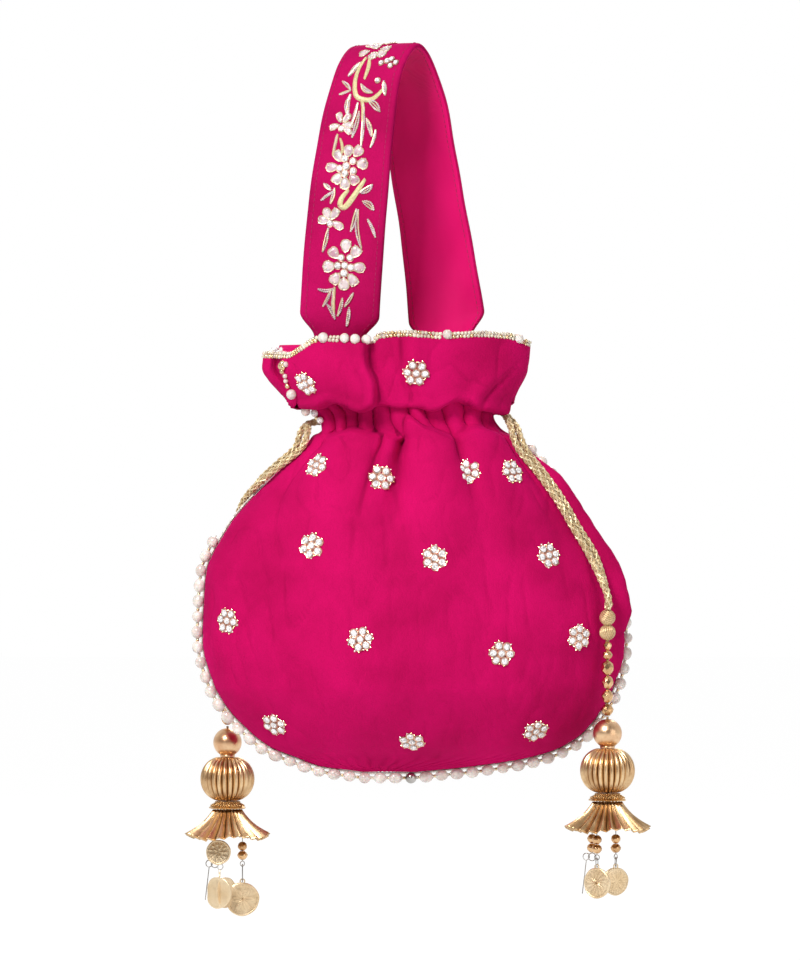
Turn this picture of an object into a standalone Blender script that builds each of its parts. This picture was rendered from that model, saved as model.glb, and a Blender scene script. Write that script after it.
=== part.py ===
"""Potli bag: gathered velvet pouch with a strap, drawstrings, pearl trim and two tassels.

Units are metres, +Z is up, +X is to the right of the front, and the front faces -Y.
The origin is the inside of the strap's crown, where a hand or a hook carries the bag.
"""
import math

import bmesh
import bpy
from mathutils import Matrix, Vector

MM = 0.001

# Fits
PIECE_GAP = 0.4 * MM
SEAM_HALF_GAP = 0.85 * MM

# Velvet bag
VELVET_THICKNESS = 1.2 * MM
RIM_HEIGHT = -148.0 * MM
CASING_HEIGHT = -184.0 * MM
BOTTOM_HEIGHT = -361.5 * MM
SECTION_POWER = 1.3
GATHERS_FRONT = 10
GATHERS_BACK = 6
GATHER_HEIGHT = 3.0 * MM
GATHER_REACH_UP = 13.0 * MM
GATHER_REACH_DOWN = 32.0 * MM
COLLAR_RUFFLES = 3
FOLD_REACH_UP = 22.0 * MM
FOLD_REACH_DOWN = 34.0 * MM
COLLAR_RUFFLE_HEIGHT = 3.5 * MM
FRONT_STEPS = 40
BACK_STEPS = 24

# Outline of the bag: height, left edge, right edge, half depth, all in millimetres
OUTLINE = (
    (-148.0, -60.0, 70.5, 31.0),
    (-160.0, -61.0, 69.5, 29.0),
    (-172.0, -52.0, 64.0, 26.0),
    (-184.0, -38.5, 57.5, 23.0),
    (-194.0, -37.0, 62.5, 24.0),
    (-206.0, -48.0, 72.0, 30.0),
    (-220.0, -62.0, 84.0, 37.0),
    (-240.0, -79.0, 97.0, 43.0),
    (-264.0, -90.0, 111.0, 47.0),
    (-296.0, -91.5, 116.5, 48.0),
    (-318.0, -86.0, 113.0, 43.0),
    (-330.0, -79.0, 107.0, 35.0),
    (-341.0, -68.5, 98.5, 26.0),
    (-348.5, -59.0, 88.0, 18.0),
    (-354.0, -45.5, 72.0, 10.0),
    (-358.5, -33.0, 44.0, 4.5),
    (-361.5, -12.0, 14.0, 0.6),
)

# Heights of the rows across the velvet, in millimetres
VELVET_ROWS = (
    -148.0, -155.0, -163.0, -171.0, -176.5, -180.5, -184.0, -187.5, -191.5, -198.0, -207.0,
    -218.0, -232.0, -250.0, -272.0, -294.0, -313.0, -329.0, -341.0, -350.0, -357.0, -361.5,
)

# Side slits where the cords leave the casing
SLIT_ANGLE = math.radians(24.0)
SLIT_HALF_HEIGHT = 6.0 * MM
SLIT_FADE = 6.0 * MM

# Lining
LINING_THICKNESS = 0.6 * MM
LINING_INSET = 2.3 * MM
LINING_CASING_INSET = 6.8 * MM
LINING_STEPS = 24
CASING_CORD_REACH = 9.0 * MM
CORD_STEP = 7.4 * MM
LINING_ROWS = (
    -149.0, -160.0, -169.0, -177.0, -182.0, -187.0, -192.5, -206.0, -224.0, -246.0, -272.0,
    -300.0, -322.0, -338.0,
)

# Drawstrings
CORD_DIAMETER = 3.5 * MM
CORD_RADIUS = CORD_DIAMETER / 2.0
CORD_LEVEL_RIGHT = -181.5 * MM
CORD_LEVEL_LEFT = -187.0 * MM
CORD_INSET = VELVET_THICKNESS / 2.0 + 0.55 * MM + CORD_RADIUS
CORD_SPACING = 4.4 * MM
INSET_ACROSS = 1.3
INSET_DEPTH = 1.1

# Pearl strings
SEAM_PEARL_DIAMETER = 6.0 * MM
SEAM_PEARL_PITCH = 7.7 * MM
SEAM_PEARL_START = -203.0 * MM
RIM_PEARL_DIAMETER = 5.0 * MM
RIM_PEARL_PITCH = 6.6 * MM
THREAD_FACTOR = 0.35

# Strap
STRAP_WIDTH = 39.0 * MM
STRAP_END_WIDTH = 24.0 * MM
STRAP_END_SHARE = 0.046
STRAP_TAPER_SHARE = 0.057
STRAP_LAYER_GAP = 0.7 * MM
STRAP_FACE_THICKNESS = 1.3 * MM
STRAP_BACKING_THICKNESS = 0.7 * MM
STRAP_STATIONS = 37
# Points along the strap: x, y, z in millimetres and the turn of the band in degrees
STRAP_ROUTE = (
    (-24.0, -19.1, -157.0, 8.0),
    (-24.0, -18.2, -144.0, 7.0),
    (-21.5, -24.0, -104.0, 6.0),
    (-17.5, -23.5, -62.0, 16.0),
    (-13.0, -18.5, -30.0, 26.0),
    (-7.5, -11.0, -9.0, 32.0),
    (0.0, 0.0, 0.0, 34.0),
    (7.5, 11.0, -9.0, 34.0),
    (14.0, 18.5, -30.0, 33.0),
    (19.0, 22.5, -62.0, 31.0),
    (26.0, 23.0, -104.0, 26.0),
    (31.0, 18.2, -144.0, 14.0),
    (31.5, 19.1, -157.0, 10.0),
)

# Rosettes on the front: x and z in millimetres from the middle of each motif
FRONT_ROSETTES = (
    (-40.0, -168.0), (14.5, -163.0), (-34.5, -209.0), (-3.0, -215.0), (40.0, -212.0),
    (62.0, -212.0), (-37.0, -248.5), (23.5, -254.5), (80.0, -253.5), (-79.0, -286.0),
    (-13.0, -294.5), (56.5, -301.5), (95.0, -294.0), (-56.0, -337.5), (12.5, -345.5),
    (74.0, -340.5),
)
BACK_ROSETTES = (
    (-30.0, -165.0), (36.0, -164.0), (-34.0, -222.0), (48.0, -224.0), (10.0, -252.0),
    (-58.0, -286.0), (72.0, -284.0), (14.0, -318.0),
)
ROSETTE_RADIUS = 7.0 * MM
ROSETTE_HEIGHT = 1.8 * MM
ROSETTE_LOBE_COUNT = 6
ROSETTE_LIFT = 0.22 * MM

# Flowers on the strap: distance along the route from 0 to 1, offset across, radius in millimetres
STRAP_FLOWERS = (
    ("strap_flower_top", 0.44, 0.0, 9.0, 8),
    ("strap_flower_small_upper", 0.325, -5.0, 6.5, 5),
    ("strap_flower_upper", 0.265, -1.0, 12.5, 8),
    ("strap_flower_small_lower", 0.195, -6.0, 6.5, 5),
    ("strap_flower_lower", 0.130, 0.0, 12.5, 8),
    ("strap_flower_back", 0.770, 0.0, 12.5, 8),
)
FLOWER_HEIGHT = 1.8 * MM

# Tassels
RIGHT_AXIS = (109.5 * MM, -23.0 * MM)
LEFT_AXIS = (-80.5 * MM, 28.0 * MM)
LEFT_DROP = 6.5 * MM
KNOT_TOP = -280.0 * MM
KNOT_RADIUS = 3.8 * MM
KNOT_SPACING = 7.4 * MM
STRING_TOP = -296.0 * MM
STRING_BOTTOM = -333.0 * MM
SMALL_BEAD_RADIUS = 2.8 * MM
SMALL_BEAD_COUNT = 6
SWING_HEIGHT = -333.6 * MM
BALL_RADIUS = 7.2 * MM
BALL_TOP = -334.6 * MM
BORE_RADIUS = 1.05 * MM
CORE_RADIUS = 0.6 * MM
MELON_RADIUS = 13.8 * MM
MELON_HEIGHT = 21.6 * MM
MELON_RIBS = 12
MELON_RIB_DEPTH = 1.0 * MM
COLLAR_RADIUS = 9.2 * MM
COLLAR_THICKNESS = 4.0 * MM
SKIRT_TOP_RADIUS = 6.6 * MM
SKIRT_HEM_RADIUS = 20.0 * MM
SKIRT_HEIGHT = 15.5 * MM
SKIRT_WALL = 0.9 * MM
SKIRT_PLEATS = 16
SKIRT_PLEAT_DEPTH = 1.0 * MM
PLATE_RADIUS = 9.6 * MM
PLATE_DROP = 7.2 * MM
PLATE_THICKNESS = 1.2 * MM
CHARM_LINK_RADIUS = 0.45 * MM
BICONE_RADIUS = 2.4 * MM
BICONE_HEIGHT = 7.5 * MM
COIN_THICKNESS = 1.2 * MM

# Charms: name, x and y from the tassel's axis, drop of the bicone and of the coin's middle, coin radius
RIGHT_CHARMS = (
    ("coin_small", -5.0, -3.5, 12.0, 30.5, 5.5),
    ("coin_large", 4.5, 1.5, 12.0, 32.0, 7.0),
    ("pin", -7.5, 5.0, 12.0, 30.0, 0.0),
)
LEFT_CHARMS = (
    ("coin_small", -4.5, -4.0, 12.0, 27.5, 6.5),
    ("coin_large", 5.5, 1.5, 12.0, 40.0, 8.5),
    ("pin", -6.5, 5.0, 12.0, 30.0, 0.0),
)

# Colours: red, green, blue, roughness, metallic
VELVET = (0.46, 0.004, 0.085, 0.85, 0.0)
SATIN = (0.55, 0.007, 0.13, 0.35, 0.0)
PEARL = (0.80, 0.72, 0.68, 0.22, 0.0)
ROSE_GOLD = (0.72, 0.45, 0.34, 0.30, 0.8)
ANTIQUE_GOLD = (0.60, 0.42, 0.22, 0.32, 1.0)
PALE_GOLD = (0.78, 0.60, 0.40, 0.28, 1.0)
GOLD_CORD = (0.50, 0.32, 0.12, 0.55, 0.5)


def clear_scene():
    """Remove every object that the file opens with."""
    for item in list(bpy.data.objects):
        bpy.data.objects.remove(item, do_unlink=True)


def new_collection(name):
    """Make a collection under the scene."""
    collection = bpy.data.collections.new(name)
    bpy.context.scene.collection.children.link(collection)
    return collection


def new_material(name, look):
    """Make a material with one principled shader."""
    material = bpy.data.materials.new(name)
    material.use_nodes = True
    shader = material.node_tree.nodes["Principled BSDF"]
    shader.inputs["Base Color"].default_value = (look[0], look[1], look[2], 1.0)
    shader.inputs["Roughness"].default_value = look[3]
    shader.inputs["Metallic"].default_value = look[4]
    material.diffuse_color = (look[0], look[1], look[2], 1.0)
    return material


def smooth_step(value):
    """Ease from 0 to 1."""
    value = min(max(value, 0.0), 1.0)
    return value * value * (3.0 - 2.0 * value)


def table_value(table, position, column):
    """Read one column of a table of stations with a smooth curve through them."""
    rows = len(table)
    if position >= table[0][0]:
        return table[0][column]
    if position <= table[-1][0]:
        return table[-1][column]
    index = 0
    while index < rows - 2 and position < table[index + 1][0]:
        index += 1
    slopes = [
        (table[i + 1][column] - table[i][column]) / (table[i + 1][0] - table[i][0])
        for i in range(rows - 1)
    ]

    def tangent(i):
        if i == 0:
            return slopes[0]
        if i == rows - 1:
            return slopes[-1]
        if slopes[i - 1] * slopes[i] <= 0.0:
            return 0.0
        return 2.0 * slopes[i - 1] * slopes[i] / (slopes[i - 1] + slopes[i])

    span = table[index + 1][0] - table[index][0]
    ratio = (position - table[index][0]) / span
    ratio2 = ratio * ratio
    ratio3 = ratio2 * ratio
    start = (2.0 * ratio3 - 3.0 * ratio2 + 1.0) * table[index][column]
    start_slope = (ratio3 - 2.0 * ratio2 + ratio) * span * tangent(index)
    end = (-2.0 * ratio3 + 3.0 * ratio2) * table[index + 1][column]
    end_slope = (ratio3 - ratio2) * span * tangent(index + 1)
    return start + start_slope + end + end_slope


def bag_section(height):
    """Give the middle, half width and half depth of the bag at one height."""
    level = height / MM
    left = table_value(OUTLINE, level, 1) * MM
    right = table_value(OUTLINE, level, 2) * MM
    depth = table_value(OUTLINE, level, 3) * MM
    return (left + right) / 2.0, (right - left) / 2.0, depth


def fold_depth(x, height):
    """Depth of the long valley that runs down the front from the collar."""
    middle = 2.0 * MM + 0.12 * (CASING_HEIGHT - height)
    across = math.exp(-((x - middle) / (9.0 * MM)) ** 2)
    drop = CASING_HEIGHT - height
    reach = FOLD_REACH_UP if drop < 0.0 else FOLD_REACH_DOWN
    along = math.exp(-(drop / reach) ** 2)
    return 4.0 * MM * across * along


def gather_height(face, ratio, height):
    """Height of the gathers and of the collar's ruffles over the plain section."""
    drop = CASING_HEIGHT - height
    reach = GATHER_REACH_UP if drop < 0.0 else GATHER_REACH_DOWN
    strength = math.exp(-(drop / reach) ** 2)
    count = GATHERS_FRONT if face > 0 else GATHERS_BACK
    gathers = strength * GATHER_HEIGHT * (0.5 - 0.5 * math.cos(2.0 * math.pi * count * ratio))
    collar = smooth_step((height - CASING_HEIGHT) / (RIM_HEIGHT - CASING_HEIGHT))
    wave = 0.5 - 0.5 * math.cos(2.0 * math.pi * COLLAR_RUFFLES * ratio)
    return gathers + collar * COLLAR_RUFFLE_HEIGHT * wave


def bag_point(face, angle, height, offset=0.0, waves=True):
    """Point on the velvet's middle surface, pushed out by an offset.

    The face is 1 for the front and -1 for the back. The angle runs from 0 at the left seam to pi
    at the right seam.
    """
    middle, width, depth = bag_section(height)
    across = -math.cos(angle)
    rise = max(math.sin(angle), 0.0)
    x = middle + width * across
    y = SEAM_HALF_GAP + depth * rise ** SECTION_POWER
    normal = Vector((across * max(depth, 1.0 * MM), rise * width))
    normal.normalize()
    push = offset
    if waves:
        push += gather_height(face, angle / math.pi, height)
    if face > 0:
        y -= fold_depth(x, height) * smooth_step(rise * 2.0)
    x += normal.x * push
    y += normal.y * push
    return Vector((x, -face * y, height))


def inner_point(face, angle, height, inset):
    """Point on a smaller section inside the velvet, without its gathers."""
    middle, width, depth = bag_section(height)
    x = middle - (width - inset * INSET_ACROSS) * math.cos(angle)
    rise = max(math.sin(angle), 0.0)
    y = (depth - inset * INSET_DEPTH) * rise ** SECTION_POWER
    if face > 0:
        y -= fold_depth(x, height) * smooth_step(rise * 2.0)
    return Vector((x, -face * y, height))


def finish_mesh(name, bm, look, pivot, collection, sharp=40.0):
    """Turn a bmesh into a named object whose origin is the pivot."""
    pivot = Vector(pivot)
    bmesh.ops.translate(bm, verts=bm.verts, vec=-pivot)
    mesh = bpy.data.meshes.new(name)
    bm.to_mesh(mesh)
    bm.free()
    mesh.shade_smooth()
    mesh.set_sharp_from_angle(angle=math.radians(sharp))
    item = bpy.data.objects.new(name, mesh)
    item.location = pivot
    item.data.materials.append(new_material(name + "_material", look))
    collection.objects.link(item)
    return item


def add_solidify(item, thickness, offset=0.0):
    """Give an open surface its thickness."""
    shell = item.modifiers.new("thickness", "SOLIDIFY")
    shell.thickness = thickness
    shell.offset = offset
    shell.use_even_offset = True
    shell.use_quality_normals = True
    return shell


def grid_surface(rows, closed=False):
    """Build a surface of quads through rows of points."""
    bm = bmesh.new()
    grid = [[bm.verts.new(point) for point in row] for row in rows]
    count = len(grid[0])
    columns = count if closed else count - 1
    for upper, lower in zip(grid, grid[1:]):
        for column in range(columns):
            following = (column + 1) % count
            bm.faces.new((upper[column], lower[column], lower[following], upper[following]))
    return bm, grid


def velvet_panel(name, face, steps, collection):
    """One velvet panel from the rim to the bottom seam, with its side slits at the casing."""
    rows = []
    for level in VELVET_ROWS:
        height = level * MM
        away = abs(height - CASING_HEIGHT) - SLIT_HALF_HEIGHT
        slit = SLIT_ANGLE * (1.0 - smooth_step(away / SLIT_FADE))
        row = []
        for step in range(steps + 1):
            angle = slit + (math.pi - 2.0 * slit) * step / steps
            row.append(bag_point(face, angle, height))
        rows.append(row)
    bm, _ = grid_surface(rows)
    if face < 0:
        bmesh.ops.reverse_faces(bm, faces=bm.faces)
    item = finish_mesh(name, bm, VELVET, (0.0, 0.0, 0.0), collection)
    add_solidify(item, VELVET_THICKNESS)
    return item


def lining_inset(height):
    """Distance of the lining from the velvet: wider at the casing, where the cords run."""
    away = abs(height - CASING_HEIGHT) - CASING_CORD_REACH
    casing = 1.0 - smooth_step(away / (8.0 * MM))
    return LINING_INSET + (LINING_CASING_INSET - LINING_INSET) * casing


def lining_bag(collection):
    """The satin lining: a pouch inside the velvet, open at the rim."""
    rows = []
    half = LINING_STEPS // 2
    for level in LINING_ROWS:
        height = level * MM
        inset = lining_inset(height)
        row = []
        for step in range(LINING_STEPS):
            face = 1 if step < half else -1
            turn = math.pi * (step % half) / half
            angle = turn if face > 0 else math.pi - turn
            row.append(inner_point(face, angle, height, inset))
        rows.append(row)
    lowest = rows[-1]
    middle = sum((Vector(point) for point in lowest), Vector()) / len(lowest)
    middle.z -= 4.0 * MM
    for share, drop in ((0.6, 2.5), (0.25, 3.6)):
        row = []
        for point in lowest:
            moved = middle.lerp(point, share)
            moved.z = lowest[0].z - drop * MM
            row.append(moved)
        rows.append(row)
    bm, grid = grid_surface(rows, closed=True)
    centre = bm.verts.new(middle)
    last = grid[-1]
    for index, vertex in enumerate(last):
        bm.faces.new((vertex, centre, last[(index + 1) % len(last)]))
    item = finish_mesh("lining", bm, SATIN, (0.0, 0.0, 0.0), collection)
    add_solidify(item, LINING_THICKNESS)
    return item


def tube(name, points, radius, look, collection, sides_resolution=2, radii=None, pivot=(0.0, 0.0, 0.0)):
    """A round cord or a beaded thread along a row of points."""
    pivot = Vector(pivot)
    curve = bpy.data.curves.new(name, "CURVE")
    curve.dimensions = "3D"
    curve.bevel_depth = radius
    curve.bevel_resolution = sides_resolution
    curve.resolution_u = 1
    curve.render_resolution_u = 0
    curve.use_fill_caps = True
    spline = curve.splines.new("POLY")
    spline.points.add(len(points) - 1)
    for index, point in enumerate(points):
        moved = Vector(point) - pivot
        spline.points[index].co = (moved.x, moved.y, moved.z, 1.0)
        spline.points[index].radius = 1.0 if radii is None else radii[index]
    item = bpy.data.objects.new(name, curve)
    item.location = pivot
    curve.materials.append(new_material(name + "_material", look))
    collection.objects.link(item)
    return item


def resample(points, spacing):
    """Space points evenly along a line through the given points."""
    lengths = [0.0]
    for first, second in zip(points, points[1:]):
        lengths.append(lengths[-1] + (second - first).length)
    count = max(int(round(lengths[-1] / spacing)), 1)
    result = []
    index = 0
    for step in range(count + 1):
        target = lengths[-1] * step / count
        while index < len(points) - 2 and lengths[index + 1] < target:
            index += 1
        span = lengths[index + 1] - lengths[index]
        ratio = (target - lengths[index]) / span if span > 0.0 else 0.0
        result.append(points[index].lerp(points[index + 1], ratio))
    return result


def curve_through(points, per_span):
    """Smooth line through a few points."""
    result = []
    last = len(points) - 1
    for index in range(last):
        before = points[max(index - 1, 0)]
        start = points[index]
        end = points[index + 1]
        after = points[min(index + 2, last)]
        for step in range(per_span):
            ratio = step / per_span
            ratio2 = ratio * ratio
            ratio3 = ratio2 * ratio
            result.append(
                0.5 * (
                    2.0 * start
                    + (end - before) * ratio
                    + (2.0 * before - 5.0 * start + 4.0 * end - after) * ratio2
                    + (3.0 * start - before - 3.0 * end + after) * ratio3
                )
            )
    result.append(points[-1].copy())
    return result


def arc_angle(arc, height):
    """Angle from a side seam at which the section has run a given length."""
    _, width, depth = bag_section(height)
    angle = 0.0
    run = 0.0
    step = math.radians(0.5)
    previous = Vector((-width, 0.0))
    while run < arc:
        angle += step
        point = Vector((-width * math.cos(angle), depth * math.sin(angle) ** SECTION_POWER))
        run += (point - previous).length
        previous = point
    return angle


def side_point(side, face, arc, height, offset):
    """Point over the velvet at a length from the side seam; a negative length is past the seam."""
    if arc < 0.0:
        face = -face
        arc = -arc
    angle = arc_angle(arc, height)
    if side > 0:
        angle = math.pi - angle
    return bag_point(face, angle, height, offset=offset, waves=False)


# Free strands: height, distance of their middle from the seam, lift off the velvet, in millimetres
RIGHT_STRANDS = (
    (-189.0, 3.2, 1.0), (-195.0, 7.0, 1.0), (-202.0, 9.6, 0.6), (-213.0, 10.2, 0.2),
    (-226.0, 11.0, 0.0), (-240.0, 12.0, 0.0), (-254.0, 14.0, 0.4),
)
LEFT_STRANDS = (
    (-192.0, 2.8, 5.0), (-199.0, 6.0, 6.0), (-208.0, 9.5, 4.0), (-219.0, 14.0, 1.0),
    (-232.0, 20.0, 0.0), (-246.0, 25.0, 0.0), (-260.0, 29.0, 0.4),
)


def free_strand(side, face, lane, exit_level, table, axis, knot_top):
    """Points of one strand from the slit in the side seam down to the knot."""
    middle, width, _ = bag_section(exit_level)
    edge = middle + side * width
    points = [
        Vector((edge - side * 4.0 * MM, -face * lane * 2.2 * MM, exit_level)),
        Vector((edge + side * 1.5 * MM, -face * lane * 2.2 * MM, exit_level - 0.8 * MM)),
    ]
    for level, arc, lift in table:
        height = level * MM
        drop = CASING_HEIGHT - height
        gathers = GATHER_HEIGHT * math.exp(-(drop / GATHER_REACH_DOWN) ** 2)
        offset = VELVET_THICKNESS / 2.0 + 0.8 * MM + CORD_RADIUS + gathers * 0.8 + lift * MM
        distance = arc * MM + lane * CORD_SPACING / 2.0
        points.append(side_point(side, face, distance, height, offset))
    first, last = knot_lanes(axis, knot_top)
    end = last if lane > 0 else first
    points.append(Vector((end.x, end.y, knot_top + 7.0 * MM)))
    points.append(end)
    return points


def knot_lanes(axis, knot_top):
    """Ends of the two strands, side by side on top of the knot."""
    half = 2.0 * MM
    inner = Vector((axis[0], axis[1] + half, knot_top))
    outer = Vector((axis[0], axis[1] - half, knot_top))
    return inner, outer


def drawstring(name, side, face, exit_level, table, axis, knot_top, collection):
    """One drawstring: a loop through the casing and two strands that leave on its own side."""
    near = free_strand(side, face, 1.0, exit_level, table, axis, knot_top)
    far = free_strand(side, face, -1.0, exit_level, table, axis, knot_top)
    if face < 0:
        near, far = swap_ends(near, far)
    loop = []
    steps = 17
    for turn_face in (face, -face):
        for step in range(1, steps):
            angle = math.pi * step / steps
            if (side > 0) == (turn_face == face):
                angle = math.pi - angle
            loop.append(inner_point(turn_face, angle, exit_level, CORD_INSET))
        if turn_face == face:
            far_angle = 0.0 if side > 0 else math.pi
            loop.append(inner_point(face, far_angle, exit_level, CORD_INSET))
    route = list(reversed(near)) + loop + far
    line = resample(curve_through(route, 6), CORD_STEP)
    return tube(name, line, CORD_RADIUS, GOLD_CORD, collection, sides_resolution=1)


def swap_ends(near, far):
    """Give the two strands their own ends on the knot so that they do not cross."""
    near_tail = near[-2:]
    far_tail = far[-2:]
    return near[:-2] + far_tail, far[:-2] + near_tail


def pearl_line(points, pitch, diameter, flat_share):
    """Points and radius factors for a string of pearls along a line."""
    places = resample(points, pitch)
    line = []
    radii = []
    flat = diameter * flat_share
    for index, place in enumerate(places):
        before = places[max(index - 1, 0)]
        after = places[min(index + 1, len(places) - 1)]
        along = (after - before).normalized()
        line.append(place - along * (diameter * 0.5))
        radii.append(THREAD_FACTOR)
        if flat > 0.0:
            line.append(place - along * flat)
            radii.append(1.0)
        line.append(place + along * flat)
        radii.append(1.0)
    last = places[-1] + (places[-1] - places[-2]).normalized() * (diameter * 0.5)
    line.append(last)
    radii.append(THREAD_FACTOR)
    return line, radii


def seam_pearls(collection):
    """Pearls along the side and bottom seams, from below one slit to below the other."""
    offset = SEAM_PEARL_DIAMETER / 2.0 + VELVET_THICKNESS / 2.0 + 0.5 * MM
    left = []
    right = []
    steps = 70
    for step in range(steps + 1):
        height = SEAM_PEARL_START + (BOTTOM_HEIGHT - SEAM_PEARL_START) * (step / steps) ** 0.8
        middle, width, _ = bag_section(height)
        left.append(Vector((middle - width, 0.0, height)))
        right.append(Vector((middle + width, 0.0, height)))
    outline = left + list(reversed(right))
    outline = resample(outline, 3.0 * MM)
    pushed = []
    for index, point in enumerate(outline):
        before = outline[max(index - 1, 0)]
        after = outline[min(index + 1, len(outline) - 1)]
        along = (after - before).normalized()
        outward = Vector((along.z, 0.0, -along.x))
        pushed.append(point + outward * (offset + 0.3 * MM))
    line, radii = pearl_line(pushed, SEAM_PEARL_PITCH, SEAM_PEARL_DIAMETER, 0.22)
    return tube(
        "seam_pearls", line, SEAM_PEARL_DIAMETER / 2.0, PEARL, collection,
        sides_resolution=1, radii=radii,
    )


def rim_pearls(collection):
    """Pearls along the top edge of the collar, all the way round but for one side."""
    points = []
    for face in (1, -1):
        steps = 90
        for step in range(steps + 1):
            angle = math.pi * step / steps
            if face < 0:
                angle = math.pi - angle
            point = bag_point(face, angle, RIM_HEIGHT)
            point.z = RIM_HEIGHT + RIM_PEARL_DIAMETER / 2.0 + 0.5 * MM
            points.append(point)
    length = sum((b - a).length for a, b in zip(points, points[1:]))
    whole = resample(points, 1.0 * MM)
    kept = whole[: len(whole) - int(4.0 * len(whole) * MM / length) - 3]
    line, radii = pearl_line(kept, RIM_PEARL_PITCH, RIM_PEARL_DIAMETER, 0.0)
    return tube(
        "rim_pearls", line, RIM_PEARL_DIAMETER / 2.0, PEARL, collection,
        sides_resolution=1, radii=radii,
    )


def strap_frames():
    """Stations along the strap: middle, direction across, outward direction and share of length."""
    route = [Vector((x, y, z)) * MM for x, y, z, _ in STRAP_ROUTE]
    turns = [Vector((turn, 0.0, 0.0)) for _, _, _, turn in STRAP_ROUTE]
    per_span = 12
    fine = curve_through(route, per_span)
    fine_turns = curve_through(turns, per_span)
    lengths = [0.0]
    for first, second in zip(fine, fine[1:]):
        lengths.append(lengths[-1] + (second - first).length)
    frames = []
    index = 0
    for station in range(STRAP_STATIONS):
        share = station / (STRAP_STATIONS - 1)
        target = share * lengths[-1]
        while index < len(fine) - 2 and lengths[index + 1] < target:
            index += 1
        ratio = (target - lengths[index]) / (lengths[index + 1] - lengths[index])
        point = fine[index].lerp(fine[index + 1], ratio)
        turn = math.radians(fine_turns[index].lerp(fine_turns[index + 1], ratio).x)
        along = (fine[index + 1] - fine[index]).normalized()
        across = Vector((math.cos(turn), -math.sin(turn), 0.0))
        across = (across - along * across.dot(along)).normalized()
        frames.append((point, across, across.cross(along).normalized(), share))
    return frames


def strap_end(share):
    """Ease from 1 at the sewn ends of the strap to 0 above the mouth."""
    return 1.0 - smooth_step((min(share, 1.0 - share) - STRAP_END_SHARE) / STRAP_TAPER_SHARE)


def strap_width(share):
    """Width of the strap, narrower where its ends are sewn into the mouth."""
    return STRAP_WIDTH - (STRAP_WIDTH - STRAP_END_WIDTH) * strap_end(share)


def strap_layer(name, offset, thickness, look, collection):
    """One layer of the strap at a distance from its inner face."""
    rows = []
    columns = 3
    for point, across, outward, share in strap_frames():
        half = strap_width(share) / 2.0
        cup = 1.2 * MM + 2.4 * MM * strap_end(share)
        row = []
        for column in range(columns + 1):
            place = 2.0 * column / columns - 1.0
            row.append(point + across * (half * place) + outward * (offset - cup * place * place))
        rows.append(row)
    bm, _ = grid_surface(rows)
    item = finish_mesh(name, bm, look, (0.0, 0.0, 0.0), collection)
    add_solidify(item, thickness)
    return item


def scalloped_disc(name, radius, height, lobes, centre, normal, look, collection):
    """A low flower-shaped boss standing on a surface."""
    normal = Vector(normal).normalized()
    side = normal.cross(Vector((0.0, 0.0, 1.0)))
    side.normalize()
    upward = side.cross(normal)
    bm = bmesh.new()
    rings = []
    for share, level in ((0.94, 0.0), (1.0, 0.45), (0.72, 1.0)):
        ring = []
        for step in range(lobes * 2):
            turn = math.pi * step / lobes
            reach = radius * share * (1.0 if step % 2 == 0 else 0.84)
            point = side * (math.cos(turn) * reach) + upward * (math.sin(turn) * reach)
            ring.append(bm.verts.new(centre + point + normal * (level * height)))
        rings.append(ring)
    count = lobes * 2
    for lower, upper in zip(rings, rings[1:]):
        for step in range(count):
            after = (step + 1) % count
            bm.faces.new((lower[step], lower[after], upper[after], upper[step]))
    bm.faces.new(rings[-1])
    bm.faces.new(tuple(reversed(rings[0])))
    bmesh.ops.recalc_face_normals(bm, faces=bm.faces)
    return finish_mesh(name, bm, look, (0.0, 0.0, 0.0), collection, sharp=30.0)


def rosette(name, face, x, height, collection):
    """One rosette on the velvet, seated on the highest point under it."""
    middle, width, _ = bag_section(height)
    across = min(max((x - middle) / width, -0.97), 0.97)
    angle = math.acos(-across)
    small = 0.02
    here = bag_point(face, angle, height, waves=False)
    along = bag_point(face, angle + small, height, waves=False) - here
    down = bag_point(face, angle, height - 1.0 * MM, waves=False) - here
    normal = along.cross(down).normalized()
    if face * normal.y > 0.0:
        normal = -normal
    reach = ROSETTE_RADIUS + 0.6 * MM
    top = -1.0
    for row in range(-8, 9):
        for column in range(-14, 15):
            turned = angle + column * 0.025
            level = height + row * 1.0 * MM
            if turned < 0.0 or turned > math.pi:
                continue
            point = bag_point(face, turned, level)
            rise = (point - here).dot(normal)
            flat = ((point - here) - normal * rise).length
            if flat < reach:
                top = max(top, rise)
    base = here + normal * (top + VELVET_THICKNESS / 2.0 + ROSETTE_LIFT)
    return scalloped_disc(
        name, ROSETTE_RADIUS, ROSETTE_HEIGHT, ROSETTE_LOBE_COUNT, base, normal, ROSE_GOLD, collection,
    )


def turned(name, profile, axis, base, look, steps, collection, closed=True):
    """A turned piece: its section runs down the outer side, then back up the bore."""
    mesh = bpy.data.meshes.new(name)
    points = [(radius, 0.0, height) for radius, height in profile]
    edges = [(index, index + 1) for index in range(len(points) - 1)]
    if closed:
        edges.append((len(points) - 1, 0))
    mesh.from_pydata(points, edges, [])
    item = bpy.data.objects.new(name, mesh)
    item.location = (axis[0], axis[1], base)
    collection.objects.link(item)
    screw = item.modifiers.new("turn", "SCREW")
    screw.axis = "Z"
    screw.angle = 2.0 * math.pi
    screw.steps = steps
    screw.render_steps = steps
    screw.use_merge_vertices = True
    screw.merge_threshold = 0.00001
    screw.use_smooth_shade = True
    mesh.materials.append(new_material(name + "_material", look))
    return item


def moved_section(profile, amount):
    """Move a turned section along its axis."""
    return [(radius, height + amount) for radius, height in profile]


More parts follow.
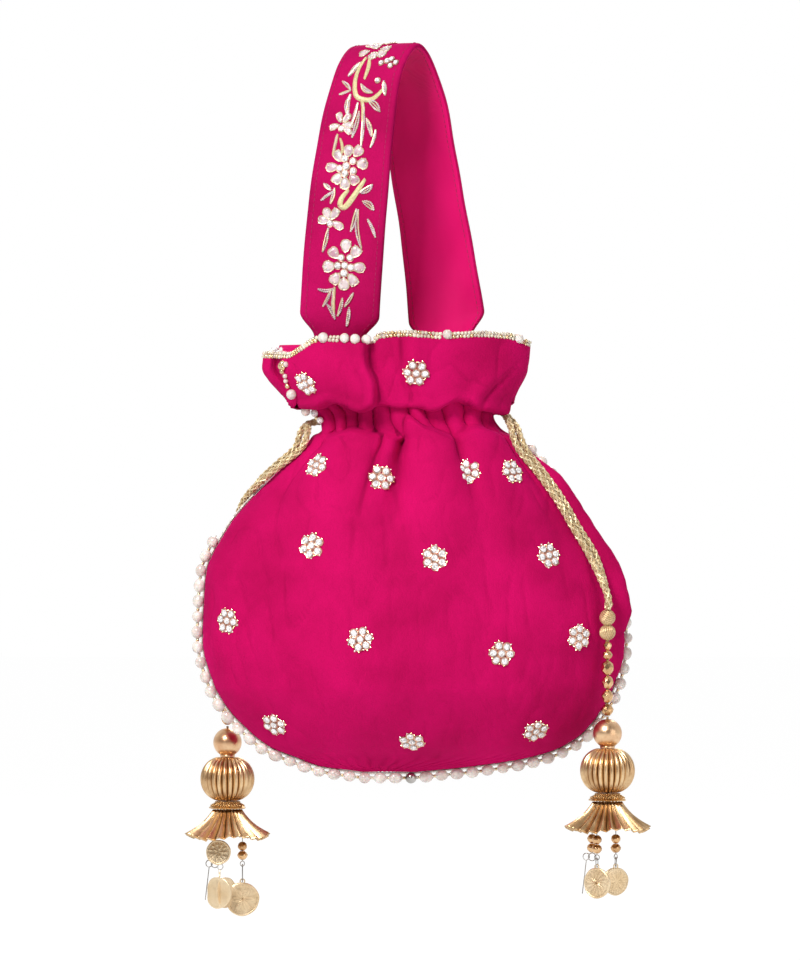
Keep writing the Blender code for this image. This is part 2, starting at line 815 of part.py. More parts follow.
def ball_arc(radius, middle, start_radius, end_radius, count):
    """Section of a ball from one radius at its top round to another at its foot."""
    first = math.asin(min(start_radius / radius, 1.0))
    last = math.pi - math.asin(min(end_radius / radius, 1.0))
    points = []
    for step in range(count):
        turn = first + (last - first) * step / (count - 1)
        points.append((max(radius * math.sin(turn), 0.0), middle + radius * math.cos(turn)))
    return points


def ribbed_body(name, section, ribs, depth, axis, base, look, collection, steps):
    """A ribbed piece with a bore: rings whose radius follows the ribs."""
    bm = bmesh.new()
    rings = []
    for radius, height, share in section:
        ring = []
        for step in range(steps):
            turn = 2.0 * math.pi * step / steps
            wave = 0.5 - 0.5 * math.cos(ribs * turn)
            reach = radius - depth * share * wave
            ring.append(bm.verts.new((reach * math.cos(turn), reach * math.sin(turn), height)))
        rings.append(ring)
    for index, ring in enumerate(rings):
        following = rings[(index + 1) % len(rings)]
        for step in range(steps):
            after = (step + 1) % steps
            bm.faces.new((ring[step], following[step], following[after], ring[after]))
    bmesh.ops.recalc_face_normals(bm, faces=bm.faces)
    item = finish_mesh(name, bm, look, (0.0, 0.0, 0.0), collection)
    item.location = (axis[0], axis[1], base)
    return item


def charm(name, axis, pivot_height, drop_bicone, drop_coin, coin_radius, parts, cutters):
    """A charm: a bead on a pin, and a coin hanging under it where it has one."""
    link = CHARM_LINK_RADIUS
    half = BICONE_HEIGHT / 2.0
    bottom = drop_coin - coin_radius + 1.4 * MM if coin_radius > 0.0 else drop_coin
    profile = [
        (0.0, 0.0),
        (link, 0.0),
        (link, -(drop_bicone - half)),
        (BICONE_RADIUS, -drop_bicone + 0.5 * MM),
        (BICONE_RADIUS, -drop_bicone - 0.5 * MM),
        (link, -(drop_bicone + half)),
        (link, -bottom),
        (0.0, -bottom),
    ]
    if coin_radius <= 0.0:
        profile[-2:] = [(link, -bottom + 1.6 * MM), (link * 2.4, -bottom + 0.8 * MM), (0.0, -bottom)]
        return turned(name, profile, axis, pivot_height, PALE_GOLD, 8, parts, closed=False)
    strand = turned(name + "_pin_tool", profile, axis, pivot_height, PALE_GOLD, 8, cutters, closed=False)
    strand.hide_render = True
    strand.display_type = "WIRE"
    bm = bmesh.new()
    flat = Matrix.Rotation(math.pi / 2.0, 4, "X")
    bmesh.ops.create_cone(
        bm, cap_ends=True, segments=18, radius1=coin_radius, radius2=coin_radius,
        depth=COIN_THICKNESS, matrix=flat,
    )
    bmesh.ops.translate(bm, verts=bm.verts, vec=(0.0, 0.0, -drop_coin))
    coin = finish_mesh(name, bm, PALE_GOLD, (0.0, 0.0, 0.0), parts)
    coin.location = (axis[0], axis[1], pivot_height)
    union = coin.modifiers.new("pin", "BOOLEAN")
    union.operation = "UNION"
    union.solver = "EXACT"
    union.object = strand
    return coin


def tassel(side, axis, drop, charms, parts, cutters):
    """One tassel from its wrapped knot down to the charms."""
    knot_pivot = KNOT_TOP - drop - PIECE_GAP - KNOT_RADIUS
    neck = 2.0 * MM
    knot = ball_arc(KNOT_RADIUS, 0.0, 0.0, neck, 6)
    knot += ball_arc(KNOT_RADIUS, -KNOT_SPACING, neck, 0.0, 6)
    turned("knot_" + side, knot, axis, knot_pivot, GOLD_CORD, 10, parts, closed=False)

    top = STRING_TOP - drop
    length = STRING_TOP - STRING_BOTTOM
    pitch = length / SMALL_BEAD_COUNT
    profile = [(0.0, 0.0), (CORE_RADIUS, 0.0)]
    for bead in range(SMALL_BEAD_COUNT):
        middle = -pitch * (bead + 0.5)
        profile.append((CORE_RADIUS, middle + 2.2 * MM))
        profile.append((SMALL_BEAD_RADIUS, middle + 0.9 * MM))
        profile.append((SMALL_BEAD_RADIUS, middle - 0.9 * MM))
        profile.append((CORE_RADIUS, middle - 2.2 * MM))
    profile += [(CORE_RADIUS, -length), (0.0, -length)]
    profile = moved_section(profile, top - knot_pivot)
    turned("bead_string_" + side, profile, axis, knot_pivot, PALE_GOLD, 8, parts, closed=False)

    swing = SWING_HEIGHT - drop
    ball_middle = BALL_TOP - drop - BALL_RADIUS
    ball = ball_arc(BALL_RADIUS, ball_middle - swing, BORE_RADIUS, BORE_RADIUS, 8)
    turned("ball_" + side, ball, axis, swing, PALE_GOLD, 14, parts)

    melon_top = ball_middle - BALL_RADIUS - PIECE_GAP
    melon_middle = melon_top - MELON_HEIGHT / 2.0
    half = MELON_HEIGHT / 2.0
    section = [(BORE_RADIUS, half * 0.92, 0.0)]
    for turn_degrees in (14.0, 38.0, 62.0, 90.0, 118.0, 142.0, 166.0):
        turn = math.radians(turn_degrees)
        reach = MELON_RADIUS * math.sin(turn) ** 0.75
        section.append((reach, half * math.cos(turn), min(1.0, math.sin(turn) * 1.2)))
    section.append((BORE_RADIUS, -half * 0.92, 0.0))
    ribbed_body(
        "melon_" + side, section, MELON_RIBS, MELON_RIB_DEPTH, axis, melon_middle, ANTIQUE_GOLD,
        parts, MELON_RIBS * 2,
    )

    ring_top = melon_middle - half - PIECE_GAP
    profile = [
        (COLLAR_RADIUS * 0.7, 0.0),
        (COLLAR_RADIUS, -COLLAR_THICKNESS * 0.3),
        (COLLAR_RADIUS, -COLLAR_THICKNESS * 0.7),
        (COLLAR_RADIUS * 0.7, -COLLAR_THICKNESS),
        (BORE_RADIUS, -COLLAR_THICKNESS),
        (BORE_RADIUS, 0.0),
    ]
    profile = moved_section(profile, ring_top - swing)
    turned("collar_ring_" + side, profile, axis, swing, PALE_GOLD, 14, parts)

    skirt_top = ring_top - COLLAR_THICKNESS - PIECE_GAP
    rise = SKIRT_HEIGHT
    section = [
        (BORE_RADIUS, 0.0, 0.0),
        (SKIRT_TOP_RADIUS, 0.0, 0.4),
        (SKIRT_TOP_RADIUS + 0.45 * (SKIRT_HEM_RADIUS - SKIRT_TOP_RADIUS), -rise * 0.36, 0.8),
        (SKIRT_HEM_RADIUS, -rise, 1.0),
        (SKIRT_HEM_RADIUS - SKIRT_WALL, -rise, 1.0),
        (SKIRT_TOP_RADIUS + 0.45 * (SKIRT_HEM_RADIUS - SKIRT_TOP_RADIUS) - 1.3 * SKIRT_WALL,
         -rise * 0.36 - SKIRT_WALL, 0.8),
        (SKIRT_TOP_RADIUS - SKIRT_WALL, -1.2 * SKIRT_WALL, 0.4),
        (BORE_RADIUS, -1.2 * SKIRT_WALL, 0.0),
    ]
    ribbed_body(
        "skirt_" + side, section, SKIRT_PLEATS, SKIRT_PLEAT_DEPTH, axis, skirt_top, ANTIQUE_GOLD,
        parts, SKIRT_PLEATS * 2,
    )

    plate_top = skirt_top - PLATE_DROP
    core_length = swing - plate_top
    profile = [
        (0.0, 0.0),
        (CORE_RADIUS, 0.0),
        (CORE_RADIUS, -core_length),
        (PLATE_RADIUS, -core_length),
        (PLATE_RADIUS, -core_length - PLATE_THICKNESS),
        (0.0, -core_length - PLATE_THICKNESS),
    ]
    turned("core_" + side, profile, axis, swing, GOLD_CORD, 12, parts, closed=False)

    pivot = plate_top - PLATE_THICKNESS - PIECE_GAP
    for label, x, y, bicone, coin_drop, coin_radius in charms:
        place = (axis[0] + x * MM, axis[1] + y * MM)
        charm(
            "charm_" + label + "_" + side, place, pivot, bicone * MM, coin_drop * MM,
            coin_radius * MM, parts, cutters,
        )


def build():
    """Build the whole bag."""
    clear_scene()
    parts = new_collection("potli_bag")
    cutters = new_collection("cutters")
    velvet_panel("front_panel", 1, FRONT_STEPS, parts)
    velvet_panel("back_panel", -1, BACK_STEPS, parts)
    lining_bag(parts)
    drawstring(
        "drawstring_right", 1, 1, CORD_LEVEL_RIGHT, RIGHT_STRANDS, RIGHT_AXIS, KNOT_TOP, parts,
    )
    drawstring(
        "drawstring_left", -1, -1, CORD_LEVEL_LEFT, LEFT_STRANDS, LEFT_AXIS, KNOT_TOP - LEFT_DROP,
        parts,
    )
    seam_pearls(parts)
    rim_pearls(parts)
    backing = STRAP_BACKING_THICKNESS / 2.0
    face = STRAP_BACKING_THICKNESS + STRAP_LAYER_GAP + STRAP_FACE_THICKNESS / 2.0
    strap_layer("strap_backing", backing, STRAP_BACKING_THICKNESS, SATIN, parts)
    strap_layer("strap_face", face, STRAP_FACE_THICKNESS, VELVET, parts)
    frames = strap_frames()
    for name, share, shift, radius, lobes in STRAP_FLOWERS:
        point, across, outward, _ = frames[int(round(share * (STRAP_STATIONS - 1)))]
        base = point + across * (shift * MM) + outward * (face + STRAP_FACE_THICKNESS / 2.0 + 0.5 * MM)
        scalloped_disc(name, radius * MM, FLOWER_HEIGHT, lobes, base, outward, ROSE_GOLD, parts)
    for number, (x, z) in enumerate(FRONT_ROSETTES, 1):
        rosette("rosette_front_%02d" % number, 1, x * MM, z * MM, parts)
    for number, (x, z) in enumerate(BACK_ROSETTES, 1):
        rosette("rosette_back_%02d" % number, -1, x * MM, z * MM, parts)
    tassel("right", RIGHT_AXIS, 0.0, RIGHT_CHARMS, parts, cutters)
    tassel("left", LEFT_AXIS, LEFT_DROP, LEFT_CHARMS, parts, cutters)


build()
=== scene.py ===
"""Looks of a gathered velvet potli bag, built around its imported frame."""
import logging
from dataclasses import dataclass, field
from enum import Enum
from math import acos, asin, cos, exp, floor, pi, radians, sin, sqrt
from typing import Callable, Iterable, Mapping, Sequence

import bmesh
import bpy
import numpy as np
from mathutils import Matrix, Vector, noise


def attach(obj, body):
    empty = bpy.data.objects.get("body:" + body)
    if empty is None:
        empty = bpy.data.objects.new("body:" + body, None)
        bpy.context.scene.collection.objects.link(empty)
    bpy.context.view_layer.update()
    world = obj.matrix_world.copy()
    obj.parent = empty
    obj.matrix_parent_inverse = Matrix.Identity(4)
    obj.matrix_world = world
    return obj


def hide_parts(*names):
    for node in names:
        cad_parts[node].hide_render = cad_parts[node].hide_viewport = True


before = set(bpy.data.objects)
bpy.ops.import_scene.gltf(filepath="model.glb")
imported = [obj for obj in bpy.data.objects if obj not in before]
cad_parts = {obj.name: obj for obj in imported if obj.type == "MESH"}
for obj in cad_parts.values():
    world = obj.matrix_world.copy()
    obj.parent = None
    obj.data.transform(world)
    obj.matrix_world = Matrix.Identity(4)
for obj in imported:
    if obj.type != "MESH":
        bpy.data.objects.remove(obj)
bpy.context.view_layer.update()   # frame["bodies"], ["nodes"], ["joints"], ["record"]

MM: float = 0.001
TURN: float = 2.0 * pi
UP: Vector = Vector((0.0, 0.0, 1.0))
LOG: logging.Logger = logging.getLogger("potli_bag")
Array = np.ndarray
Item = bpy.types.Object
Material = bpy.types.Material
Socket = bpy.types.NodeSocket
Colour = tuple[float, float, float]
Profile = Sequence[tuple[float, float]]
WHITE: Colour = (1.0, 1.0, 1.0)
EVEN: tuple[float, float, float] = (1.0, 1.0, 1.0)


class Worded(Enum):
    """A choice whose word is part of the names of nodes and pieces."""

    @property
    def word(self) -> str:
        """Lower-case name of the choice."""
        return self.name.lower()


class Side(Worded):
    """Side of the bag, as its sign along the x axis."""

    LEFT = -1
    RIGHT = 1


class Face(Worded):
    """Face of the bag: the front looks along -Y."""

    FRONT = 1
    BACK = -1


def ease(value: float) -> float:
    """Ease from 0 to 1."""
    value = min(max(value, 0.0), 1.0)
    return value * value * (3.0 - 2.0 * value)


def ease_all(values: Array) -> Array:
    """Ease an array from 0 to 1."""
    values = np.clip(values, 0.0, 1.0)
    return values * values * (3.0 - 2.0 * values)


def turns(steps: int) -> list[float]:
    """Evenly spaced turns of a full circle."""
    return [TURN * step / steps for step in range(steps)]


def bump(values: Array, middle: Array | float, width: float) -> Array:
    """Bell-shaped weight around a middle."""
    return np.exp(-(((values - middle) / width) ** 2))


def smooth_route(points: Sequence[Vector], per_span: int) -> list[Vector]:
    """Draw a smooth line through a few points.

    Args:
        points: The points that the line passes.
        per_span: Steps between two of them.

    Returns:
        The points of the line.
    """
    line: list[Vector] = []
    last = len(points) - 1
    for index in range(last):
        before = points[max(index - 1, 0)]
        start = points[index]
        end = points[index + 1]
        after = points[min(index + 2, last)]
        for step in range(per_span):
            ratio = step / per_span
            square = ratio * ratio
            cube = square * ratio
            line.append(
                0.5 * (
                    2.0 * start
                    + (end - before) * ratio
                    + (2.0 * before - 5.0 * start + 4.0 * end - after) * square
                    + (3.0 * start - before - 3.0 * end + after) * cube
                )
            )
    line.append(points[-1].copy())
    return line


def even_route(points: Sequence[Vector], spacing: float) -> list[Vector]:
    """Space points evenly along a line.

    Args:
        points: The line.
        spacing: Distance wanted between two points.

    Returns:
        Points at equal steps, ends included.
    """
    lengths = [0.0]
    for first, second in zip(points, points[1:]):
        lengths.append(lengths[-1] + (second - first).length)
    count = max(int(round(lengths[-1] / spacing)), 1)
    result: list[Vector] = []
    index = 0
    for step in range(count + 1):
        target = lengths[-1] * step / count
        while index < len(points) - 2 and lengths[index + 1] < target:
            index += 1
        span = lengths[index + 1] - lengths[index]
        ratio = (target - lengths[index]) / span if span > 0.0 else 0.0
        result.append(points[index].lerp(points[index + 1], ratio))
    return result


def route_length(points: Sequence[Vector]) -> float:
    """Length of a line."""
    return sum((second - first).length for first, second in zip(points, points[1:]))


def carried_frames(points: Sequence[Vector], start: Vector) -> list[tuple[Vector, Vector, Vector]]:
    """Carry a side direction along a line without twisting it.

    Args:
        points: The line.
        start: Wanted side direction at its first point.

    Returns:
        Along, side and outward directions at every point.
    """
    frames: list[tuple[Vector, Vector, Vector]] = []
    side = start
    for index in range(len(points)):
        before = points[max(index - 1, 0)]
        after = points[min(index + 1, len(points) - 1)]
        along = (after - before).normalized()
        side = (side - along * side.dot(along)).normalized()
        frames.append((along, side, along.cross(side)))
    return frames


class Sketch:
    """Gathers points and faces of many small shapes into one mesh."""

    def __init__(self) -> None:
        """Start empty."""
        self.points: list[tuple[float, float, float]] = []
        self.faces: list[tuple[int, ...]] = []
        self.slots: list[int] = []

    def add(self, points: Iterable[Vector], faces: Iterable[tuple[int, ...]], slot: int = 0) -> None:
        """Add a shape.

        Args:
            points: Its points.
            faces: Its faces, counted from its own first point.
            slot: Material slot of its faces.
        """
        base = len(self.points)
        self.points.extend((point[0], point[1], point[2]) for point in points)
        for face in faces:
            self.faces.append(tuple(base + index for index in face))
            self.slots.append(slot)

    def rings(self, rings: Sequence[Sequence[Vector]], closed: bool = False, slot: int = 0) -> None:
        """Join rings of points into a skin.

        Args:
            rings: Rings with the same number of points each.
            closed: True where the last ring joins the first; the ends are filled otherwise.
            slot: Material slot of the faces.
        """
        count = len(rings[0])
        points = [point for ring in rings for point in ring]
        faces: list[tuple[int, ...]] = []
        spans = len(rings) if closed else len(rings) - 1
        for row in range(spans):
            low = row * count
            high = ((row + 1) % len(rings)) * count
            for step in range(count):
                after = (step + 1) % count
                faces.append((low + step, low + after, high + after, high + step))
        if not closed:
            last = (len(rings) - 1) * count
            faces.append(tuple(reversed(range(count))))
            faces.append(tuple(last + step for step in range(count)))
        self.add(points, faces, slot)

    def tube(
        self, line: Sequence[Vector], radius: float, sides: int = 8, slot: int = 0, flat: float = 1.0,
    ) -> None:
        """Add a round or flattened rod along a line.

        Args:
            line: Middle of the rod.
            radius: Its radius.
            sides: Corners of its section.
            slot: Material slot.
            flat: Height of the section over its width.
        """
        frames = carried_frames(line, (line[1] - line[0]).normalized().orthogonal())
        rings: list[list[Vector]] = []
        for point, (_, side, outward) in zip(line, frames):
            ring = []
            for turn in turns(sides):
                high = outward * (sin(turn) * radius * flat)
                ring.append(point + side * (cos(turn) * radius) + high)
            rings.append(ring)
        self.rings(rings, slot=slot)

    def ball(
        self, middle: Vector, radius: float, rows: int = 6, steps: int = 10, slot: int = 0,
        axis: Vector | None = None, stretch: float = 1.0,
    ) -> None:
        """Add a ball, or an egg along an axis.

        Args:
            middle: Its middle.
            radius: Its radius.
            rows: Rows from pole to pole.
            steps: Steps round.
            slot: Material slot.
            axis: Direction of its poles.
            stretch: Length along the axis over its width.
        """
        up = UP if axis is None else axis.normalized()
        side = up.orthogonal().normalized()
        other = up.cross(side)
        points = [middle + up * (radius * stretch)]
        for row in range(1, rows):
            lean = pi * row / rows
            for turn in turns(steps):
                points.append(
                    middle + up * (cos(lean) * radius * stretch)
                    + (side * cos(turn) + other * sin(turn)) * (sin(lean) * radius)
                )
        points.append(middle - up * (radius * stretch))
        last = len(points) - 1
        faces: list[tuple[int, ...]] = []
        for step in range(steps):
            after = (step + 1) % steps
            faces.append((0, 1 + step, 1 + after))
            low = 1 + (rows - 2) * steps
            faces.append((last, low + after, low + step))
        for row in range(rows - 2):
            low = 1 + row * steps
            high = low + steps
            for step in range(steps):
                after = (step + 1) % steps
                faces.append((low + step, high + step, high + after, low + after))
        self.add(points, faces, slot)

    def turned(
        self, section: Profile, middle: Vector, steps: int = 16,
        reach: Callable[[float, float], float] | None = None,
    ) -> None:
        """Add a shape turned about an upright axis.

        Args:
            section: Radius and distance along the axis of each ring.
            middle: Place of the section's zero.
            steps: Steps round.
            reach: Factor on the radius from the turn and the place along the section.
        """
        side = UP.orthogonal().normalized()
        other = UP.cross(side)
        rings: list[list[Vector]] = []
        for index, (radius, height) in enumerate(section):
            share = index / max(len(section) - 1, 1)
            ring = []
            for turn in turns(steps):
                size = max(radius, 0.00001) * (1.0 if reach is None else reach(turn, share))
                out = side * cos(turn) + other * sin(turn)
                ring.append(middle + UP * height + out * size)
            rings.append(ring)
        self.rings(rings)

    def finish(self, name: str, materials: Sequence[Material], sharp: float = 35.0) -> Item:
        """Make the object, with its faces turned outward.

        Args:
            name: Name of the piece.
            materials: One for each slot.
            sharp: Angle in degrees over which an edge stays sharp.

        Returns:
            The object.
        """
        mesh = bpy.data.meshes.new(name)
        mesh.from_pydata(self.points, [], self.faces)
        for material in materials:
            mesh.materials.append(material)
        mesh.polygons.foreach_set("material_index", self.slots)
        mesh.update()
        skin = bmesh.new()
        skin.from_mesh(mesh)
        bmesh.ops.recalc_face_normals(skin, faces=skin.faces)
        skin.to_mesh(mesh)
        skin.free()
        mesh.shade_smooth()
        mesh.set_sharp_from_angle(angle=radians(sharp))
        return linked(name, mesh)


def linked(name: str, data: bpy.types.ID) -> Item:
    """Object with the given data, linked to the scene."""
    item = bpy.data.objects.new(name, data)
    bpy.context.scene.collection.objects.link(item)
    return item


def add_node(
    tree: bpy.types.NodeTree, kind: str, values: Mapping[str | int, object] | None = None, **settings: object,
) -> bpy.types.Node:
    """Add a node to a tree.

    Args:
        tree: Tree that takes it.
        kind: Type of the node, without its first word.
        values: Its inputs, each with the value or the output that feeds it.
        settings: Its own settings.

    Returns:
        The node.
    """
    node = tree.nodes.new(f"ShaderNode{kind}")
    for name, setting in settings.items():
        setattr(node, name, setting)
    for key, value in (values or {}).items():
        if isinstance(value, Socket):
            tree.links.new(value, node.inputs[key])
        else:
            node.inputs[key].default_value = value
    return node


class Nodes:
    """Short hand for building one material's nodes."""

    def __init__(self, name: str) -> None:
        """Make a material whose nodes hold only its shader and output."""
        self.material = bpy.data.materials.new(name)
        self.material.use_nodes = True
        self.tree = self.material.node_tree
        self.shader = self.tree.nodes["Principled BSDF"]

    def add(self, kind: str, values: Mapping[str | int, object], **settings: object) -> bpy.types.Node:
        """Add a node to this material."""
        return add_node(self.tree, kind, values, **settings)

    def feed(self, source: Socket, name: str) -> None:
        """Feed an input of the shader."""
        self.tree.links.new(source, self.shader.inputs[name])

    def place(self, scale: Sequence[float] = EVEN) -> Socket:
        """Object coordinates, scaled along each axis."""
        texture = self.add("TexCoord", {})
        mapping = self.add("Mapping", {"Scale": scale, "Vector": texture.outputs["Object"]})
        return mapping.outputs["Vector"]

    def grain(self, scale: float, detail: float = 2.0, stretch: Sequence[float] = EVEN) -> Socket:
        """Noise over the surface; the scale counts per metre."""
        values = {"Scale": scale, "Detail": detail, "Vector": self.place(stretch)}
        return self.add("TexNoise", values).outputs["Fac"]

    def ramp(self, source: Socket, stops: Sequence[tuple[float, Colour]]) -> Socket:
        """Colour ramp fed by a value.

        Args:
            source: The value.
            stops: Place and colour of each of the two or more stops.

        Returns:
            The colour.
        """
        node = self.add("ValToRGB", {"Fac": source})
        elements = node.color_ramp.elements
        while len(elements) < len(stops):
            elements.new(0.5)
        for element, (place, colour) in zip(elements, stops):
            element.position = place
            element.color = (*colour, 1.0)
        return node.outputs["Color"]

    def span(self, source: Socket, low: float, high: float) -> Socket:
        """Map a value from 0..1 to a span."""
        return self.add("MapRange", {"To Min": low, "To Max": high, "Value": source}).outputs["Result"]

    def multiply(self, colour: Socket, other: Socket, share: float = 1.0) -> Socket:
        """Multiply a colour by another one, in part or in whole."""
        values = {"Factor": share, "A": colour, "B": other}
        return self.add("Mix", values, data_type="RGBA", blend_type="MULTIPLY").outputs["Result"]

    def hollows(self, colour: Socket, place: float, hollow_shade: Colour, crest: Colour = WHITE) -> Socket:
        """Paint shade into a colour where the surface dips in, as in creases, grooves and folds.

        Args:
            colour: The colour.
            place: Pointiness at which the painted shade is full.
            hollow_shade: Tint of the painted shade in creases, grooves and folds.
            crest: Tint of all the rest.

        Returns:
            The tinted colour.
        """
        shape = self.add("NewGeometry", {}).outputs["Pointiness"]
        # Painted shade: pointiness darkens the colour in creases and grooves
        return self.multiply(colour, self.ramp(shape, ((place, hollow_shade), (0.500, crest))))

    def raise_by(self, source: Socket, depth: float, strength: float = 1.0) -> None:
        """Add relief of a depth in metres on top of the relief there is."""
        values = {"Distance": depth, "Strength": strength, "Height": source}
        current = self.shader.inputs["Normal"]
        if current.is_linked:
            values["Normal"] = current.links[0].from_socket
        self.feed(self.add("Bump", values).outputs["Normal"], "Normal")

    def set(self, **values: object) -> None:
        """Set sockets of the shader by name."""
        for key, value in values.items():
            self.shader.inputs[key.replace("_", " ")].default_value = value


@dataclass(frozen=True)
class VelvetFinish:
    """Short-pile velvet: uneven nap, painted shade in its creases, a soft sheen at grazing angles and a fine
    grain.
    """

    name: str
    light: Colour = (0.585, 0.0036, 0.112)
    middle: Colour = (0.510, 0.0030, 0.094)
    dark: Colour = (0.405, 0.0022, 0.070)
    sheen_tint: tuple[float, float, float, float] = (1.0, 0.02, 0.36, 1.0)
    sheen: float = 0.26
    # Tint of the painted shade that darkens the velvet's creases, found by pointiness
    hollow_shade: Colour = (0.60, 0.52, 0.58)
    crest: Colour = WHITE

    def build(self) -> Material:
        """Make the material."""
        nodes = Nodes(self.name)
        nap = nodes.grain(26.0, 3.0)
        colour = nodes.ramp(nap, ((0.30, self.dark), (0.50, self.middle), (0.72, self.light)))
        pile = nodes.grain(2600.0, 2.0, (1.0, 1.0, 0.55))
        tips = nodes.ramp(pile, ((0.30, (0.62, 0.62, 0.62)), (0.62, WHITE)))
        speckled = nodes.multiply(colour, tips, 0.30)
        # Painted shade: the velvet darkens where pointiness finds a crease
        nodes.feed(nodes.hollows(speckled, 0.455, self.hollow_shade, self.crest), "Base Color")
        nodes.feed(nodes.span(nap, 0.72, 0.95), "Roughness")
        nodes.set(Sheen_Weight=self.sheen, Sheen_Roughness=0.45, Sheen_Tint=self.sheen_tint)
        nodes.set(Specular_IOR_Level=0.04)
        nodes.raise_by(nodes.grain(110.0, 3.0), 0.0009, 0.35)
        nodes.raise_by(pile, 0.00028, 0.6)
        return nodes.material


@dataclass(frozen=True)
class SatinFinish:
    """Smooth satin with long soft ripples and a fine weave."""

    name: str
    colour: Colour = (0.720, 0.0050, 0.150)
    shade: Colour = (0.580, 0.0030, 0.112)

    def build(self) -> Material:
        """Make the material."""
        nodes = Nodes(self.name)
        cloud = nodes.grain(38.0, 2.0, (1.0, 1.0, 0.4))
        nodes.feed(nodes.ramp(cloud, ((0.32, self.shade), (0.66, self.colour))), "Base Color")
        nodes.feed(nodes.span(cloud, 0.46, 0.60), "Roughness")
        nodes.set(Specular_IOR_Level=0.20, Sheen_Weight=0.10, Sheen_Tint=(1.0, 0.1, 0.45, 1.0))
        nodes.set(Specular_Tint=(1.0, 0.35, 0.6, 1.0), Anisotropic=0.45)
        nodes.raise_by(nodes.grain(70.0, 2.0, (1.0, 1.0, 0.3)), 0.0010, 0.45)
        weave_values = {"Scale": 1500.0, "Distortion": 0.6, "Vector": nodes.place()}
        weave = nodes.add("TexWave", weave_values, wave_type="BANDS", bands_direction="DIAGONAL")
        nodes.raise_by(weave.outputs["Fac"], 0.00008, 0.5)
        return nodes.material


@dataclass(frozen=True)
class PearlFinish:
    """Pearl with a warm body, a clear lustre and small dimples."""

    name: str
    pale: Colour = (0.86, 0.80, 0.76)
    blush: Colour = (0.70, 0.52, 0.49)

    def build(self) -> Material:
        """Make the material."""
        nodes = Nodes(self.name)
        cloud = nodes.grain(240.0, 2.0)
        nodes.feed(nodes.ramp(cloud, ((0.34, self.blush), (0.60, self.pale))), "Base Color")
        nodes.feed(nodes.span(cloud, 0.16, 0.30), "Roughness")
        nodes.set(Coat_Weight=0.6, Coat_Roughness=0.08, Specular_IOR_Level=0.6)
        nodes.set(Subsurface_Weight=0.12, Subsurface_Scale=0.002)
        nodes.raise_by(nodes.grain(900.0, 2.0), 0.00025, 0.4)
        return nodes.material


@dataclass(frozen=True)
class StoneFinish:
    """Cut glass stone: a bright white body patched with painted grey facet shade, and sharp gloss."""

    name: str
    light: Colour = (0.93, 0.92, 0.92)
    # Grey of the painted facet shade
    shade: Colour = (0.42, 0.39, 0.39)

    def build(self) -> Material:
        """Make the material."""
        nodes = Nodes(self.name)
        cloud = nodes.grain(1300.0, 1.0)
        # Painted facet shade: a noise cloud patches the white body with grey
        nodes.feed(nodes.ramp(cloud, ((0.36, self.shade), (0.54, self.light))), "Base Color")
        nodes.feed(nodes.span(cloud, 0.04, 0.12), "Roughness")
        nodes.set(Coat_Weight=1.0, Coat_Roughness=0.03, IOR=1.7, Specular_IOR_Level=0.8)
        return nodes.material


@dataclass(frozen=True)
class MetalFinish:
    """Plated or cast gold: a warm body, painted shade in its grooves and folds, and a soft uneven polish."""

    name: str
    light: Colour
    dark: Colour
    rough: float = 0.28
    grain_scale: float = 420.0
    relief: float = 0.00006
    metallic: float = 1.0
    # Tint of the painted shade in grooves, folds and relief, found by pointiness
    hollow_shade: Colour = (0.30, 0.20, 0.12)

    def build(self) -> Material:
        """Make the material."""
        nodes = Nodes(self.name)
        cloud = nodes.grain(self.grain_scale, 4.0)
        wear = nodes.grain(self.grain_scale * 0.18, 2.0)
        body = nodes.ramp(wear, ((0.34, self.dark), (0.62, self.light)))
        worn = nodes.multiply(body, nodes.ramp(cloud, ((0.30, (0.74, 0.70, 0.66)), (0.60, WHITE))), 0.35)
        # Painted shade: the metal darkens where pointiness finds a groove or fold
        nodes.feed(nodes.hollows(worn, 0.42, self.hollow_shade), "Base Color")
        nodes.feed(nodes.span(cloud, self.rough * 0.75, self.rough * 1.35), "Roughness")
        nodes.set(Metallic=self.metallic)
        nodes.raise_by(cloud, self.relief, 0.6)
        return nodes.material


@dataclass(frozen=True)
class ThreadFinish:
    """Metallic or plain thread: fine strands along its length."""

    name: str
    light: Colour
    dark: Colour
    metallic: float = 0.75
    rough: float = 0.38

    def build(self) -> Material:
        """Make the material."""
        nodes = Nodes(self.name)
        strand = nodes.grain(2400.0, 2.0)
        nodes.feed(nodes.ramp(strand, ((0.34, self.dark), (0.62, self.light))), "Base Color")
        nodes.feed(nodes.span(strand, self.rough * 0.8, self.rough * 1.4), "Roughness")
        nodes.set(Metallic=self.metallic)
        nodes.raise_by(strand, 0.00012, 0.7)
        return nodes.material


